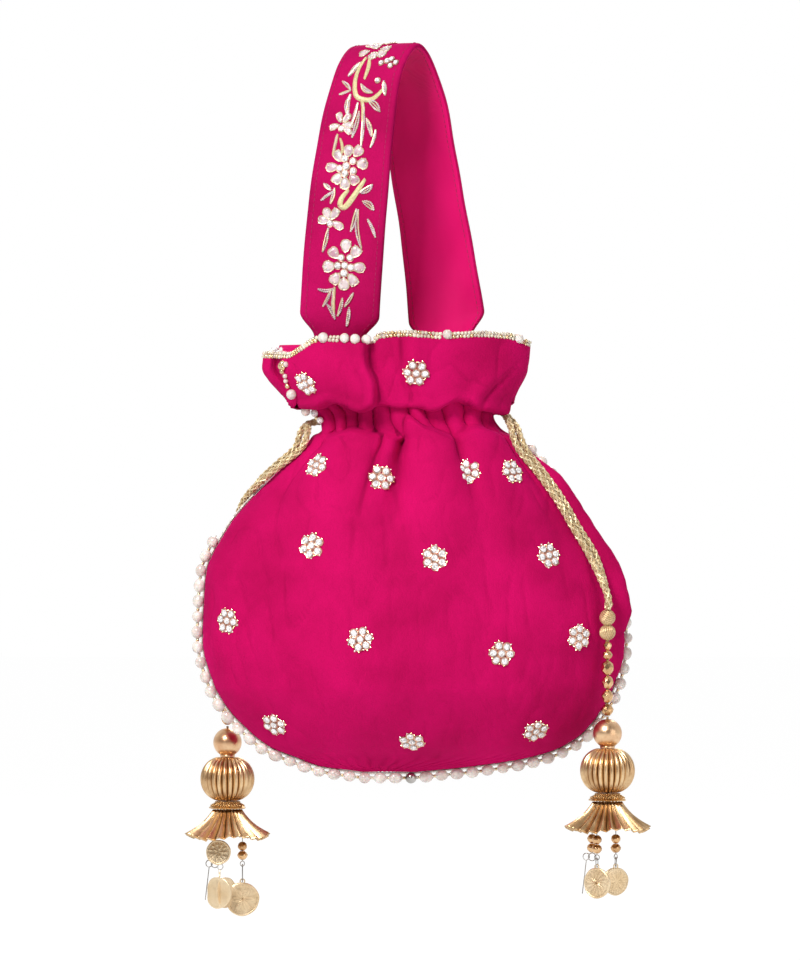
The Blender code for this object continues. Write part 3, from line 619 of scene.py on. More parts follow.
class Finishes:
    """Every finish of the bag, made once."""

    def __init__(self) -> None:
        """Make the materials."""
        self.velvet_front = VelvetFinish("velvet_front").build()
        self.velvet_back = VelvetFinish("velvet_back").build()
        self.velvet_strap = VelvetFinish(
            "velvet_strap", (0.470, 0.0040, 0.096), (0.415, 0.0034, 0.082), (0.320, 0.0024, 0.060),
        ).build()
        self.satin_lining = SatinFinish("satin_lining").build()
        self.satin_strap = SatinFinish("satin_strap").build()
        self.thread_pink = ThreadFinish(
            "thread_pink", (0.42, 0.008, 0.10), (0.25, 0.003, 0.05), 0.0, 0.6,
        ).build()
        self.pearl = PearlFinish("pearl", (0.76, 0.69, 0.63), (0.58, 0.48, 0.44)).build()
        self.pearl_white = PearlFinish("pearl_white", (0.82, 0.77, 0.71), (0.66, 0.56, 0.50)).build()
        self.seed_bead = PearlFinish("seed_bead", (0.74, 0.66, 0.52), (0.46, 0.36, 0.28)).build()
        self.stone = StoneFinish("stone").build()
        self.petal = PearlFinish("petal_sheer", (0.70, 0.60, 0.60), (0.46, 0.32, 0.36)).build()
        self.petal_rose = PearlFinish("petal_rose", (0.66, 0.50, 0.52), (0.46, 0.24, 0.30)).build()
        self.silk_gold = ThreadFinish("silk_gold", (0.80, 0.74, 0.44), (0.56, 0.46, 0.24), 0.25, 0.42).build()
        self.rose_wire = MetalFinish("rose_wire", (0.86, 0.56, 0.42), (0.58, 0.30, 0.22), 0.30).build()
        self.seed_gold = MetalFinish("seed_gold", (0.88, 0.70, 0.42), (0.60, 0.42, 0.22), 0.25).build()
        self.beads = [self.pearl, self.pearl_white, self.seed_bead, self.seed_gold]
        self.edge_thread = ThreadFinish(
            "edge_thread", (0.80, 0.77, 0.70), (0.48, 0.44, 0.38), 0.3, 0.45,
        ).build()
        self.zari = ThreadFinish("zari", (0.86, 0.76, 0.56), (0.50, 0.38, 0.22), 0.7, 0.34).build()
        self.braid = ThreadFinish("gold_braid", (0.95, 0.84, 0.58), (0.56, 0.42, 0.20), 0.45).build()
        self.braid_dark = ThreadFinish(
            "gold_braid_dark", (0.74, 0.58, 0.34), (0.34, 0.21, 0.09), 0.45,
        ).build()
        self.knot_dark = ThreadFinish("knot_core", (0.42, 0.28, 0.13), (0.22, 0.13, 0.06), 0.5).build()
        self.collar_gold = MetalFinish("collar_gold", (0.84, 0.55, 0.25), (0.52, 0.30, 0.12), 0.28).build()
        self.knot = ThreadFinish("knot_thread", (0.80, 0.59, 0.34), (0.48, 0.31, 0.14), 0.5).build()
        self.ball_gold = MetalFinish(
            "ball_gold", (0.88, 0.60, 0.36), (0.70, 0.40, 0.22), 0.30, 900.0, 0.00003,
        ).build()
        self.melon_gold = MetalFinish(
            "melon_gold", (0.86, 0.62, 0.36), (0.58, 0.36, 0.18), 0.30, 800.0, 0.00004,
        ).build()
        self.skirt_gold = MetalFinish(
            "skirt_gold", (0.84, 0.60, 0.34), (0.56, 0.36, 0.18), 0.36, 600.0, 0.00008,
            # Near-black painted shade deep in the pleats of the skirt
            hollow_shade=(0.10, 0.06, 0.03),
        ).build()
        self.bead_gold = MetalFinish(
            "bead_gold", (0.86, 0.56, 0.30), (0.56, 0.32, 0.15), 0.20, 700.0, 0.00003,
        ).build()
        self.coin_gold = MetalFinish(
            "coin_gold", (0.90, 0.73, 0.49), (0.74, 0.55, 0.32), 0.38, 500.0, 0.00004, 0.7,
        ).build()
        self.wire_steel = MetalFinish("wire_steel", (0.62, 0.60, 0.58), (0.32, 0.30, 0.28), 0.28).build()


# Outline of the bag: height, left edge, right edge and half depth, in millimetres
OUTLINE: tuple[tuple[float, float, float, float], ...] = (
    (-148.0, -56.5, 66.5, 30.0), (-160.0, -57.0, 65.5, 28.5), (-172.0, -49.0, 60.0, 26.0),
    (-184.0, -38.0, 56.0, 23.0), (-194.0, -37.0, 62.5, 24.0), (-206.0, -48.0, 72.0, 30.0),
    (-220.0, -62.0, 84.0, 37.0), (-240.0, -79.0, 97.0, 43.0), (-264.0, -90.0, 111.0, 47.0),
    (-296.0, -91.5, 116.5, 48.0), (-318.0, -86.0, 113.0, 43.0), (-330.0, -79.0, 107.0, 35.0),
    (-341.0, -68.5, 98.5, 26.0), (-348.5, -59.0, 88.0, 18.0), (-354.0, -45.5, 72.0, 10.0),
    (-358.5, -33.0, 44.0, 4.5), (-361.5, -12.0, 14.0, 0.6),
)


@dataclass
class BagForm:
    """Plain form of the pouch: a lens-shaped section at every height, between two side seams."""

    rim: float = -148.0 * MM
    casing: float = -184.0 * MM
    foot: float = -361.5 * MM
    seam_half_gap: float = 0.85 * MM
    power: float = 1.3
    samples: int = 1200
    heights: Array = field(init=False)
    sizes: list[Array] = field(init=False)

    def __post_init__(self) -> None:
        """Draw a smooth curve through the outline's stations."""
        table = np.array(OUTLINE) * MM
        marks = table[:, 0]
        self.heights = np.linspace(marks[0], marks[-1], self.samples)
        self.sizes = [self._curve(marks, table[:, column]) for column in (1, 2, 3)]

    def _curve(self, marks: Array, values: Array) -> Array:
        """Read a column of stations at every sampled height.

        Args:
            marks: Heights of the stations, going down.
            values: Their values.

        Returns:
            A value for each sampled height.
        """
        slopes = np.diff(values) / np.diff(marks)
        tangents = np.zeros(len(values))
        tangents[0] = slopes[0]
        tangents[-1] = slopes[-1]
        for index in range(1, len(values) - 1):
            if slopes[index - 1] * slopes[index] > 0.0:
                product = slopes[index - 1] * slopes[index]
                tangents[index] = 2.0 * product / (slopes[index - 1] + slopes[index])
        cells = np.clip(np.searchsorted(-marks, -self.heights, side="right") - 1, 0, len(marks) - 2)
        spans = marks[cells + 1] - marks[cells]
        ratio = (self.heights - marks[cells]) / spans
        square = ratio * ratio
        cube = square * ratio
        return (
            (2.0 * cube - 3.0 * square + 1.0) * values[cells]
            + (cube - 2.0 * square + ratio) * spans * tangents[cells]
            + (3.0 * square - 2.0 * cube) * values[cells + 1]
            + (cube - square) * spans * tangents[cells + 1]
        )

    def section(self, height: Array | float) -> tuple[Array, Array, Array]:
        """Middle, half width and half depth at given heights."""
        left, right, depth = (np.interp(-np.asarray(height), -self.heights, size) for size in self.sizes)
        return (left + right) / 2.0, (right - left) / 2.0, depth

    def sizes_at(self, height: float) -> tuple[float, float, float]:
        """Middle, half width and half depth at one height."""
        middle, width, depth = self.section(height)
        return float(middle), float(width), float(depth)

    def angle_at(self, x: float, height: float) -> float:
        """Angle from the left seam at which the section passes a place across."""
        middle, width, _ = self.sizes_at(height)
        return acos(min(max(-(x - middle) / width, -0.985), 0.985))

    def points(self, face: Face, angle: Array, height: Array, push: Array | float = 0.0) -> Array:
        """Points over the plain form.

        Args:
            face: Front or back.
            angle: Angles from the left seam, 0 to pi; below 0 lies past the seam.
            height: Heights.
            push: Distance out from the form.

        Returns:
            An array of points.
        """
        middle, width, depth = self.section(height)
        across = -np.cos(angle)
        rise = np.abs(np.sin(angle))
        past = np.where(np.sin(angle) < -1e-6, -1.0, 1.0)
        normal_x = across * np.maximum(depth, 0.001)
        normal_y = past * rise * width
        size = np.sqrt(normal_x ** 2 + normal_y ** 2) + 1e-9
        x = middle + width * across + normal_x / size * push
        y = self.seam_half_gap + past * depth * rise ** self.power + normal_y / size * push
        return np.stack(np.broadcast_arrays(x, -face.value * y, height), axis=-1)


# Left edge of the front's collar: height and place across, in millimetres
FLAP_EDGE: tuple[tuple[float, float], ...] = (
    (-146.0, -44.5), (-160.0, -46.5), (-168.0, -44.5), (-175.0, -40.0), (-180.0, -36.5), (-184.5, -33.5),
)


@dataclass
class VelvetFolds:
    """Folds of the velvet over the plain form: collar, casing, gathers and soft creases."""

    form: BagForm
    collar_proud: float = 6.2 * MM
    collar_droop: float = 3.4 * MM
    puff_height: float = 4.3 * MM
    band_top: float = -180.0 * MM
    band_foot: float = -193.5 * MM
    # Valleys of the gathers at the casing, in millimetres along x
    front_valleys: tuple[float, ...] = (
        -35.0, -27.5, -22.0, -15.0, -7.0, 2.6, 12.5, 19.5, 27.5, 37.5, 47.0, 54.0,
    )
    back_valleys: tuple[float, ...] = (-33.0, -24.0, -15.0, -8.0, 1.0, 9.0, 19.0, 27.0, 36.0, 45.0, 53.0)
    # Long folds that run down from the casing: start, end, height, reach, in millimetres
    front_bulges: tuple[tuple[float, float, float, float], ...] = (
        (-36.0, -29.0, 2.0, 18.0), (-29.0, -5.0, 6.0, 38.0), (-4.6, 2.2, 2.2, 22.0), (5.2, 27.0, 6.4, 40.0),
        (27.5, 50.0, 5.4, 34.0), (50.0, 57.5, 2.8, 30.0),
    )
    back_bulges: tuple[tuple[float, float, float, float], ...] = (
        (-34.0, -20.0, 3.0, 22.0), (-19.0, -2.0, 4.2, 30.0), (-1.0, 13.0, 3.0, 24.0),
        (14.0, 31.0, 4.2, 32.0), (32.0, 44.0, 2.8, 20.0), (45.0, 56.0, 2.4, 26.0),
    )

    def casing_place(self, angle: Array) -> Array:
        """Place along x, in millimetres, where a line of equal angle crosses the casing."""
        middle, width, _ = self.form.section(self.form.casing)
        return (middle - width * np.cos(angle)) / MM

    def collar_foot(self, face: Face, x: Array) -> Array:
        """Height of the collar's lower lip at each place across."""
        shift = 0.0 if face is Face.FRONT else 11.0
        wave = (
            1.4 * np.sin((x + shift) / 5.1 + 0.4) + 1.0 * np.sin((x + shift) / 2.7 + 1.9)
            + 1.5 * bump(x, -17.0, 7.0) - 1.2 * bump(x, -31.0, 6.0) + 2.0 * bump(x, 30.0, 7.0)
            - 1.8 * bump(x, 51.0, 8.0)
        )
        return (-178.0 + wave) * MM

    def flap_edge(self, heights: Array) -> Array:
        """Angle at which the front's collar ends on the left, over the back's that passes under it."""
        marks, places = np.array(FLAP_EDGE).T * MM
        middle, width, _ = self.form.section(heights)
        x = np.interp(-heights, -marks, places)
        return np.arccos(np.clip((middle - x) / width, -1.0, 1.0))

    def collar(self, face: Face, angle: Array, height: Array) -> Array:
        """Push of the collar's standing frill, before its lower lip is tucked in."""
        x = self.casing_place(angle)
        level = (height - self.form.casing) / (self.form.rim - self.form.casing)
        push = np.full_like(height, float(self.collar_proud))
        if face is Face.FRONT:
            edge = -2.0 + 2.6 * bump(level, 0.45, 0.22) - 4.5 * ease_all((0.30 - level) / 0.3)
            flap = 1.0 - ease_all((x - edge + 0.6) / 1.3)
            lip = bump(x, edge - 1.8, 1.9) * 1.4
            inner = 1.0 - ease_all((x - 10.0 - 9.0 * (0.55 - level)) / 7.5)
            push += flap * 5.0 * MM * ease_all((x + 36.0) / 18.0) + lip * MM
            push -= (1.0 - flap) * inner * 3.8 * MM
            push -= 1.5 * MM * bump(x, 10.8 + 2.6 * (0.9 - level), 1.5) * ease_all((level - 0.45) / 0.4)
            push += 1.3 * MM * bump(x, 15.5, 3.4) * ease_all((level - 0.35) / 0.5)
            crease = 43.0 + 16.0 * (level - 0.15)
            push -= 1.5 * MM * bump(x, crease, 1.5) * bump(level, 0.38, 0.22)
            push += 1.6 * MM * bump(x, crease - 4.0, 4.0) * bump(level, 0.35, 0.25)
            push -= 0.8 * MM * bump(x, -20.0, 5.0) * bump(level, 0.22, 0.18)
        else:
            push += 2.2 * MM * np.sin(x / 7.3 + 0.8) * ease_all(level + 0.2)
            push -= 2.4 * MM * bump(x, 22.0, 2.4) * ease_all(level)
            push -= 2.0 * MM * bump(x, -14.0, 2.0) * ease_all(level)
        return push

    def body_top(self, face: Face, x: Array) -> Array:
        """Height at which the pouch swells out under the gathered band."""
        if face is Face.FRONT:
            wave = 3.6 * bump(x, -17.0, 9.0) + 9.0 * bump(x, 10.5, 4.5) + 3.6 * bump(x, 18.0, 6.0)
            wave = wave + 5.2 * bump(x, 40.0, 8.0) - 1.6 * bump(x, 3.0, 3.0) - 1.4 * bump(x, 28.0, 2.5)
        else:
            wave = 4.0 * bump(x, -11.0, 8.0) + 5.5 * bump(x, 23.0, 8.0) + 2.5 * bump(x, 50.0, 5.0)
        return self.band_foot + (wave - 0.4) * MM

    def side_roll(self, face: Face, angle: Array, height: Array) -> Array:
        """Roll of loose velvet beside the right seam of the front, which hides its pearls."""
        if face is Face.BACK:
            return np.zeros_like(height)
        away = pi - angle - 0.16
        roll = np.where(away > 0.0, bump(away, 0.0, 0.13), bump(away, 0.0, 0.09))
        upper = ease_all((-199.0 * MM - height) / (16.0 * MM))
        lower = 1.0 - 0.65 * ease_all((-280.0 * MM - height) / (14.0 * MM))
        end = 1.0 - ease_all((-306.0 * MM - height) / (16.0 * MM))
        return 8.0 * MM * roll * upper * lower * end

    def puffs(self, face: Face, angle: Array, height: Array) -> Array:
        """Push of the small gathers along the casing."""
        x = self.casing_place(angle)
        drop = (self.band_top - height) / (self.band_top - self.band_foot)
        x = x + 1.1 * np.sin(drop * 3.0 + x / 9.0)
        valleys = self.front_valleys if face is Face.FRONT else self.back_valleys
        push = np.zeros_like(height)
        for index, (start, end) in enumerate(zip(valleys, valleys[1:])):
            share = np.clip((x - start) / (end - start), 0.0, 1.0)
            size = self.puff_height * (0.75 + 0.35 * sin(index * 2.3 + 0.7))
            push += size * np.sin(pi * share) ** 0.62
        return push

    def long_folds(self, face: Face, angle: Array, height: Array) -> Array:
        """Push of the long folds that fan out under the casing."""
        x = self.casing_place(angle)
        drop = np.maximum(self.body_top(face, x) - height, 0.0) / MM
        bulges = self.front_bulges if face is Face.FRONT else self.back_bulges
        push = np.zeros_like(height)
        for index, (start, end, size, reach) in enumerate(bulges):
            lean = 0.9 * np.sin(drop / 17.0 + index)
            share = np.clip((x - start + lean) / (end - start), 0.0, 1.0)
            soften = 0.55 + 0.5 * ease_all(drop / 40.0)
            body = np.sin(pi * share) ** soften
            push += size * MM * body * np.exp(-((drop / reach) ** 1.35)) * ease_all(drop / 4.0 + 0.25)
        if face is Face.FRONT:
            deep = 3.4 + 0.055 * drop
            fade = bump(drop, 0.0, 44.0) * ease_all(drop / 4.0 + 0.2)
            push -= 7.4 * MM * bump(x, deep, 1.9 + 0.05 * drop) * fade
            push -= 2.6 * MM * bump(x, 27.8 + 0.07 * drop, 1.4 + 0.04 * drop) * bump(drop, 0.0, 34.0)
            push -= 1.6 * MM * bump(x, -5.0, 1.0 + 0.02 * drop) * bump(drop, 0.0, 50.0)
            push -= 1.8 * MM * bump(x, 50.0 + 0.03 * drop, 1.2) * bump(drop, 0.0, 36.0)
        return push

    def creases(self, face: Face, points: Array) -> Array:
        """Soft creases and the pull along the seams, over the whole cloth."""
        flat = points.reshape(-1, 3)
        wide = np.empty(len(flat))
        fine = np.empty(len(flat))
        shift = Vector((3.1 * face.value, 1.7, 0.4))
        for index, point in enumerate(flat):
            place = Vector(point)
            wide[index] = noise.noise(Vector((place.x * 26.0, place.y * 14.0, place.z * 12.0)) + shift)
            fine[index] = noise.noise(Vector((place.x * 95.0, place.y * 60.0, place.z * 34.0)) + shift)
        wide, fine = (value.reshape(points.shape[:-1]) for value in (wide, fine))
        return 1.5 * MM * wide - 0.55 * MM * (1.0 - np.abs(fine)) ** 6

    def seam_pull(self, angle: Array, height: Array) -> Array:
        """Small puckers beside the side and bottom seams."""
        from_seam = np.minimum(angle, pi - angle)
        foot = np.maximum(height - self.form.foot, 0.0) / MM
        side = bump(from_seam, 0.0, 0.16) * ease_all((self.form.casing - height) / (20.0 * MM))
        low = bump(foot, 0.0, 9.0)
        stitch = np.sin(height / MM * 0.82) * side * 0.55
        stitch += np.sin(angle * 46.0) * low * 0.45
        return stitch * MM

    def push(self, face: Face, angle: Array, height: Array) -> Array:
        """Whole push of the cloth out from the plain form.

        Args:
            face: Front or back.
            angle: Angles from the left seam.
            height: Heights.

        Returns:
            Distances along the form's own direction out.
        """
        x = self.casing_place(angle)
        lip = self.collar_foot(face, x)
        above = ease_all((height - lip + 0.4 * MM) / (2.4 * MM))
        body = ease_all((self.body_top(face, x) - height + 1.2 * MM) / (2.8 * MM)) * (1.0 - above)
        band = (1.0 - above) * (1.0 - body)
        push = above * self.collar(face, angle, height)
        push += band * (self.puffs(face, angle, height) - 2.2 * MM)
        push += body * self.long_folds(face, angle, height)
        push += body * 1.6 * MM * bump(self.band_foot, height, 26.0 * MM)
        push += self.seam_pull(angle, height)
        calm = 1.0 - 0.7 * band
        push += calm * self.creases(face, self.form.points(face, angle, height))
        edge = np.sin(np.clip(angle, 0.0, pi))
        return push * ease_all(edge * 3.2 + 0.10) + self.side_roll(face, angle, height)

    def droop(self, face: Face, angle: Array, height: Array) -> Array:
        """Drop of the collar's lower lip over the casing."""
        lip = self.collar_foot(face, self.casing_place(angle))
        return self.collar_droop * bump((height - lip) / MM, 1.3, 1.6)

    def surface(self, face: Face, angle: Array, height: Array, lift: float = 0.0) -> Array:
        """Points of the cloth.

        Args:
            face: Front or back.
            angle: Angles from the left seam.
            height: Heights on the plain form.
            lift: Further distance out.

        Returns:
            An array of points.
        """
        points = self.form.points(face, angle, height, self.push(face, angle, height) + lift)
        points[..., 2] -= self.droop(face, angle, height)
        tuck = ease_all(-angle / 0.30) * 5.0 * MM
        points[..., 0] += tuck * 0.25
        points[..., 1] += tuck
        high = ease_all((height - (self.form.rim - 14.0 * MM)) / (14.0 * MM))
        x = points[..., 0] / MM
        points[..., 2] -= high * 7.0 * MM * ease_all((-34.0 - x) / 16.0)
        points[..., 2] -= high * 3.5 * MM * ease_all((x - 60.0) / 12.0)
        points[..., 2] += high * 2.6 * MM * ease_all((x + 7.0) / 3.5)
        points[..., 2] += high * 0.5 * MM * np.sin(x / 6.0)
        return points

    def spot(self, face: Face, angle: float, height: float, lift: float = 0.0) -> tuple[Vector, Vector]:
        """Point on the cloth and the direction out from it.

        Args:
            face: Front or back.
            angle: Angle from the left seam.
            height: Height on the plain form.
            lift: Distance out.

        Returns:
            The point and the direction.
        """
        step = 0.035
        rise = 2.2 * MM
        angles = np.array([angle, angle - step, angle + step, angle, angle])
        heights = np.array([height, height, height, height - rise, height + rise])
        place, left, right, low, high = (Vector(p) for p in self.surface(face, angles, heights))
        out = (right - left).cross(high - low).normalized()
        if out.y * face.value > 0.0:
            out = -out
        return place + out * lift, out

    def locate(self, face: Face, x: float, z: float) -> tuple[float, float]:
        """Angle and height at which the cloth passes a place across and a height.

        Args:
            face: Front or back.
            x: Place across.
            z: Height.

        Returns:
            The angle and the height on the plain form.
        """
        aim_x, aim_z = x, z
        for _ in range(5):
            height = min(max(aim_z, self.form.foot + 1.0 * MM), self.form.rim)
            angle = self.form.angle_at(aim_x, height)
            point = self.surface(face, np.array([angle]), np.array([height]))[0]
            aim_x += 0.8 * (x - point[0])
            aim_z += 0.8 * (z - point[2])
        return angle, height


def cloth_mesh(name: str, points: Array, material: Material, flip: bool, wrap: bool = False) -> Item:
    """Make a cloth object from a grid of points.

    Args:
        name: Name of the piece.
        points: Grid of points, row by row.
        material: Its finish.
        flip: True to turn the faces the other way.
        wrap: True where the last column joins the first.

    Returns:
        The object.
    """
    rows, columns = points.shape[:2]
    index = np.arange(rows * columns).reshape(rows, columns)
    right = np.roll(index, -1, axis=1)
    if not wrap:
        index = index[:, :-1]
        right = right[:, :-1]
    quads = np.stack([index[:-1], index[1:], right[1:], right[:-1]], axis=-1).reshape(-1, 4)
    if flip:
        quads = quads[:, ::-1]
    mesh = bpy.data.meshes.new(name)
    mesh.from_pydata(points.reshape(-1, 3).tolist(), [], quads.tolist())
    mesh.materials.append(material)
    mesh.update()
    mesh.shade_smooth()
    return linked(name, mesh)


def thicken(item: Item, thickness: float) -> None:
    """Give a cloth its thickness."""
    shell = item.modifiers.new("thickness", "SOLIDIFY")
    shell.thickness = thickness
    shell.offset = 0.0
    shell.use_quality_normals = True


@dataclass
class VelvetPanels:
    """The two velvet panels, sewn together along the sides and the foot."""

    form: BagForm
    folds: VelvetFolds
    finishes: Finishes
    thickness: float = 1.0 * MM
    right_slit: float = 0.55
    columns: int = 236
    # Runs of rows going down: height at the top, in millimetres, and number of rows
    runs: tuple[tuple[float, int], ...] = (
        (-148.0, 34), (-174.0, 44), (-200.0, 30), (-240.0, 46), (-340.0, 22),
    )
    slit_angle: float = radians(24.0)
    slit_half_height: float = 6.0 * MM
    slit_fade: float = 6.0 * MM
    flat_width: float = 0.262
    flat_height: float = 0.232

    def rows(self) -> Array:
        """Heights of the rows: close together over the collar and the casing."""
        heights = []
        for (top, count), (foot, _) in zip(self.runs, self.runs[1:]):
            heights.append(np.linspace(top * MM, foot * MM, count, endpoint=False))
        last, count = self.runs[-1]
        turn = np.linspace(0.0, 1.0, count)
        heights.append(last * MM + (self.form.foot - last * MM) * np.sin(turn * pi / 2.0))
        return np.concatenate(heights)

    def left_edge(self, face: Face, heights: Array, slit: Array) -> Array:
        """Angle at which the panel starts: the front flap stops short, and the back one passes under it."""
        if face is Face.FRONT:
            high = ease_all((heights + 186.0 * MM) / (6.0 * MM))
            return slit * (1.0 - high) + np.maximum(self.folds.flap_edge(heights), slit) * high
        high = ease_all((heights + 179.0 * MM) / (8.0 * MM))
        return slit * (1.0 - high) - radians(34.0) * high

    def build(self, face: Face) -> Item:
        """Build one panel and place it on the bag.

        Args:
            face: Front or back.

        Returns:
            The panel.
        """
        heights = self.rows()
        away = np.abs(heights - self.form.casing) - self.slit_half_height
        slit = self.slit_angle * (1.0 - ease_all(away / self.slit_fade))
        left = self.left_edge(face, heights, slit)
        slit = slit * (self.right_slit if face is Face.FRONT else 1.0)
        share = np.linspace(0.0, 1.0, self.columns)
        share = share - 0.055 * np.sin(TURN * share)
        angles = left[:, None] + (pi - slit - left)[:, None] * share[None, :]
        grid = np.broadcast_to(heights[:, None], angles.shape).copy()
        points = self.folds.surface(face, angles, grid)
        material = self.finishes.velvet_front if face is Face.FRONT else self.finishes.velvet_back
        panel = cloth_mesh(f"velvet_{face.word}", points, material, face is Face.BACK)
        thicken(panel, self.thickness)
        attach(panel, "bag")
        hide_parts(f"{face.word}_panel")
        LOG.info("velvet panel %s: %d points", face.word, points.shape[0] * points.shape[1])
        return panel


@dataclass
class Lining:
    """Satin pouch inside the velvet, sewn to it along the rim."""

    form: BagForm
    folds: VelvetFolds
    finishes: Finishes
    inset: float = 2.3 * MM
    casing_inset: float = 6.8 * MM
    top: float = -148.6 * MM
    foot: float = -340.0 * MM
    rim_gap: float = 1.5 * MM
    spread_reach: float = 20.0 * MM
    columns: int = 200
    rows: int = 96

    def inset_at(self, heights: Array) -> Array:
        """Distance inside the velvet, wider where the cords run."""
        away = np.abs(heights - self.form.casing) - 9.0 * MM
        casing = 1.0 - ease_all(away / (8.0 * MM))
        return self.inset + (self.casing_inset - self.inset) * casing

    def fold_depth(self, x: Array, heights: Array) -> Array:
        """Depth of the long valley on the front, which the lining follows."""
        drop = self.form.casing - heights
        middle = 2.0 * MM + 0.12 * drop
        reach = np.where(drop < 0.0, 18.0 * MM, 46.0 * MM)
        return 6.4 * MM * bump(x, middle, 10.0 * MM) * bump(drop, 0.0, reach)

    def meet_rim(self, points: Array, turn: Array, heights: Array) -> Array:
        """Spread the mouth of the pouch until it meets the velvet inside the collar.

        Args:
            points: Rows of points of the plain pouch.
            turn: Turn of each column, from the left seam over the front.
            heights: Height of each row.

        Returns:
            The points with the mouth spread.
        """
        front = turn < pi
        angle = np.where(front, turn, TURN - turn)
        grid_angle, grid_height = np.meshgrid(angle, heights)
        velvet = []
        for face in (Face.FRONT, Face.BACK):
            velvet.append(self.folds.surface(face, grid_angle, grid_height, -self.rim_gap))
        target = np.where(front[None, :, None], velvet[0], velvet[1])
        share = ease_all((heights - (self.form.rim - self.spread_reach)) / (self.spread_reach - 2.0 * MM))
        covered = np.where(front, ease_all((angle - 0.62) / 0.30), 1.0)
        weight = (share[:, None] * covered[None, :])[..., None]
        return points * (1.0 - weight) + target * weight

    def build(self) -> Item:
        """Build the pouch and place it on the bag."""
        heights = np.linspace(self.top, self.foot, self.rows)
        turn = np.linspace(0.0, TURN, self.columns, endpoint=False)
        middle, width, depth = (value[:, None] for value in self.form.section(heights))
        inset = self.inset_at(heights)[:, None]
        level = heights[:, None]
        x = middle - (width - inset * 1.3) * np.cos(turn)[None, :]
        rise = np.abs(np.sin(turn))[None, :]
        y = (depth - inset * 1.1) * rise ** self.form.power
        front = (turn < pi)[None, :]
        y = y - np.where(front, self.fold_depth(x, level) * ease_all(rise * 2.0), 0.0)
        phase = turn * 17.0 + 1.2 * np.sin(level / 0.021)
        ripple = 0.45 * MM * np.sin(phase) * ease_all(rise * 3.0)
        near = bump(level, self.form.casing, 26.0 * MM)
        y = y - ripple * near - 0.4 * MM * near
        y = np.where(front, -y, y)
        points = np.stack(np.broadcast_arrays(x, y, level), axis=-1).copy()
        points = self.meet_rim(points, turn, heights)
        close = []
        last = points[-1]
        centre = last.mean(axis=0)
        for share, drop in ((0.8, 2.0), (0.55, 3.4), (0.3, 4.2), (0.06, 4.6)):
            ring = centre + (last - centre) * share
            ring[:, 2] = self.foot - drop * MM
            close.append(ring)
        points = np.concatenate([points, np.array(close)], axis=0)
        item = cloth_mesh("satin_lining", points, self.finishes.satin_lining, False, wrap=True)
        thicken(item, 0.5 * MM)
        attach(item, "bag")
        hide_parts("lining")
        return item


# Points along the strap: x, y, z in millimetres and the turn of the band in degrees
STRAP_ROUTE: tuple[tuple[float, float, float, float], ...] = (
    (-24.0, -19.1, -157.0, 8.0), (-24.0, -18.2, -144.0, 7.0), (-21.5, -24.0, -104.0, 6.0),
    (-17.5, -23.5, -62.0, 16.0), (-13.0, -18.5, -30.0, 26.0), (-7.5, -11.0, -9.0, 32.0),
    (0.0, 0.0, 0.0, 34.0), (7.5, 11.0, -9.0, 34.0), (14.0, 18.5, -30.0, 33.0), (19.0, 22.5, -62.0, 31.0),
    (26.0, 23.0, -104.0, 26.0), (31.0, 18.2, -144.0, 14.0), (31.5, 19.1, -157.0, 10.0),
)


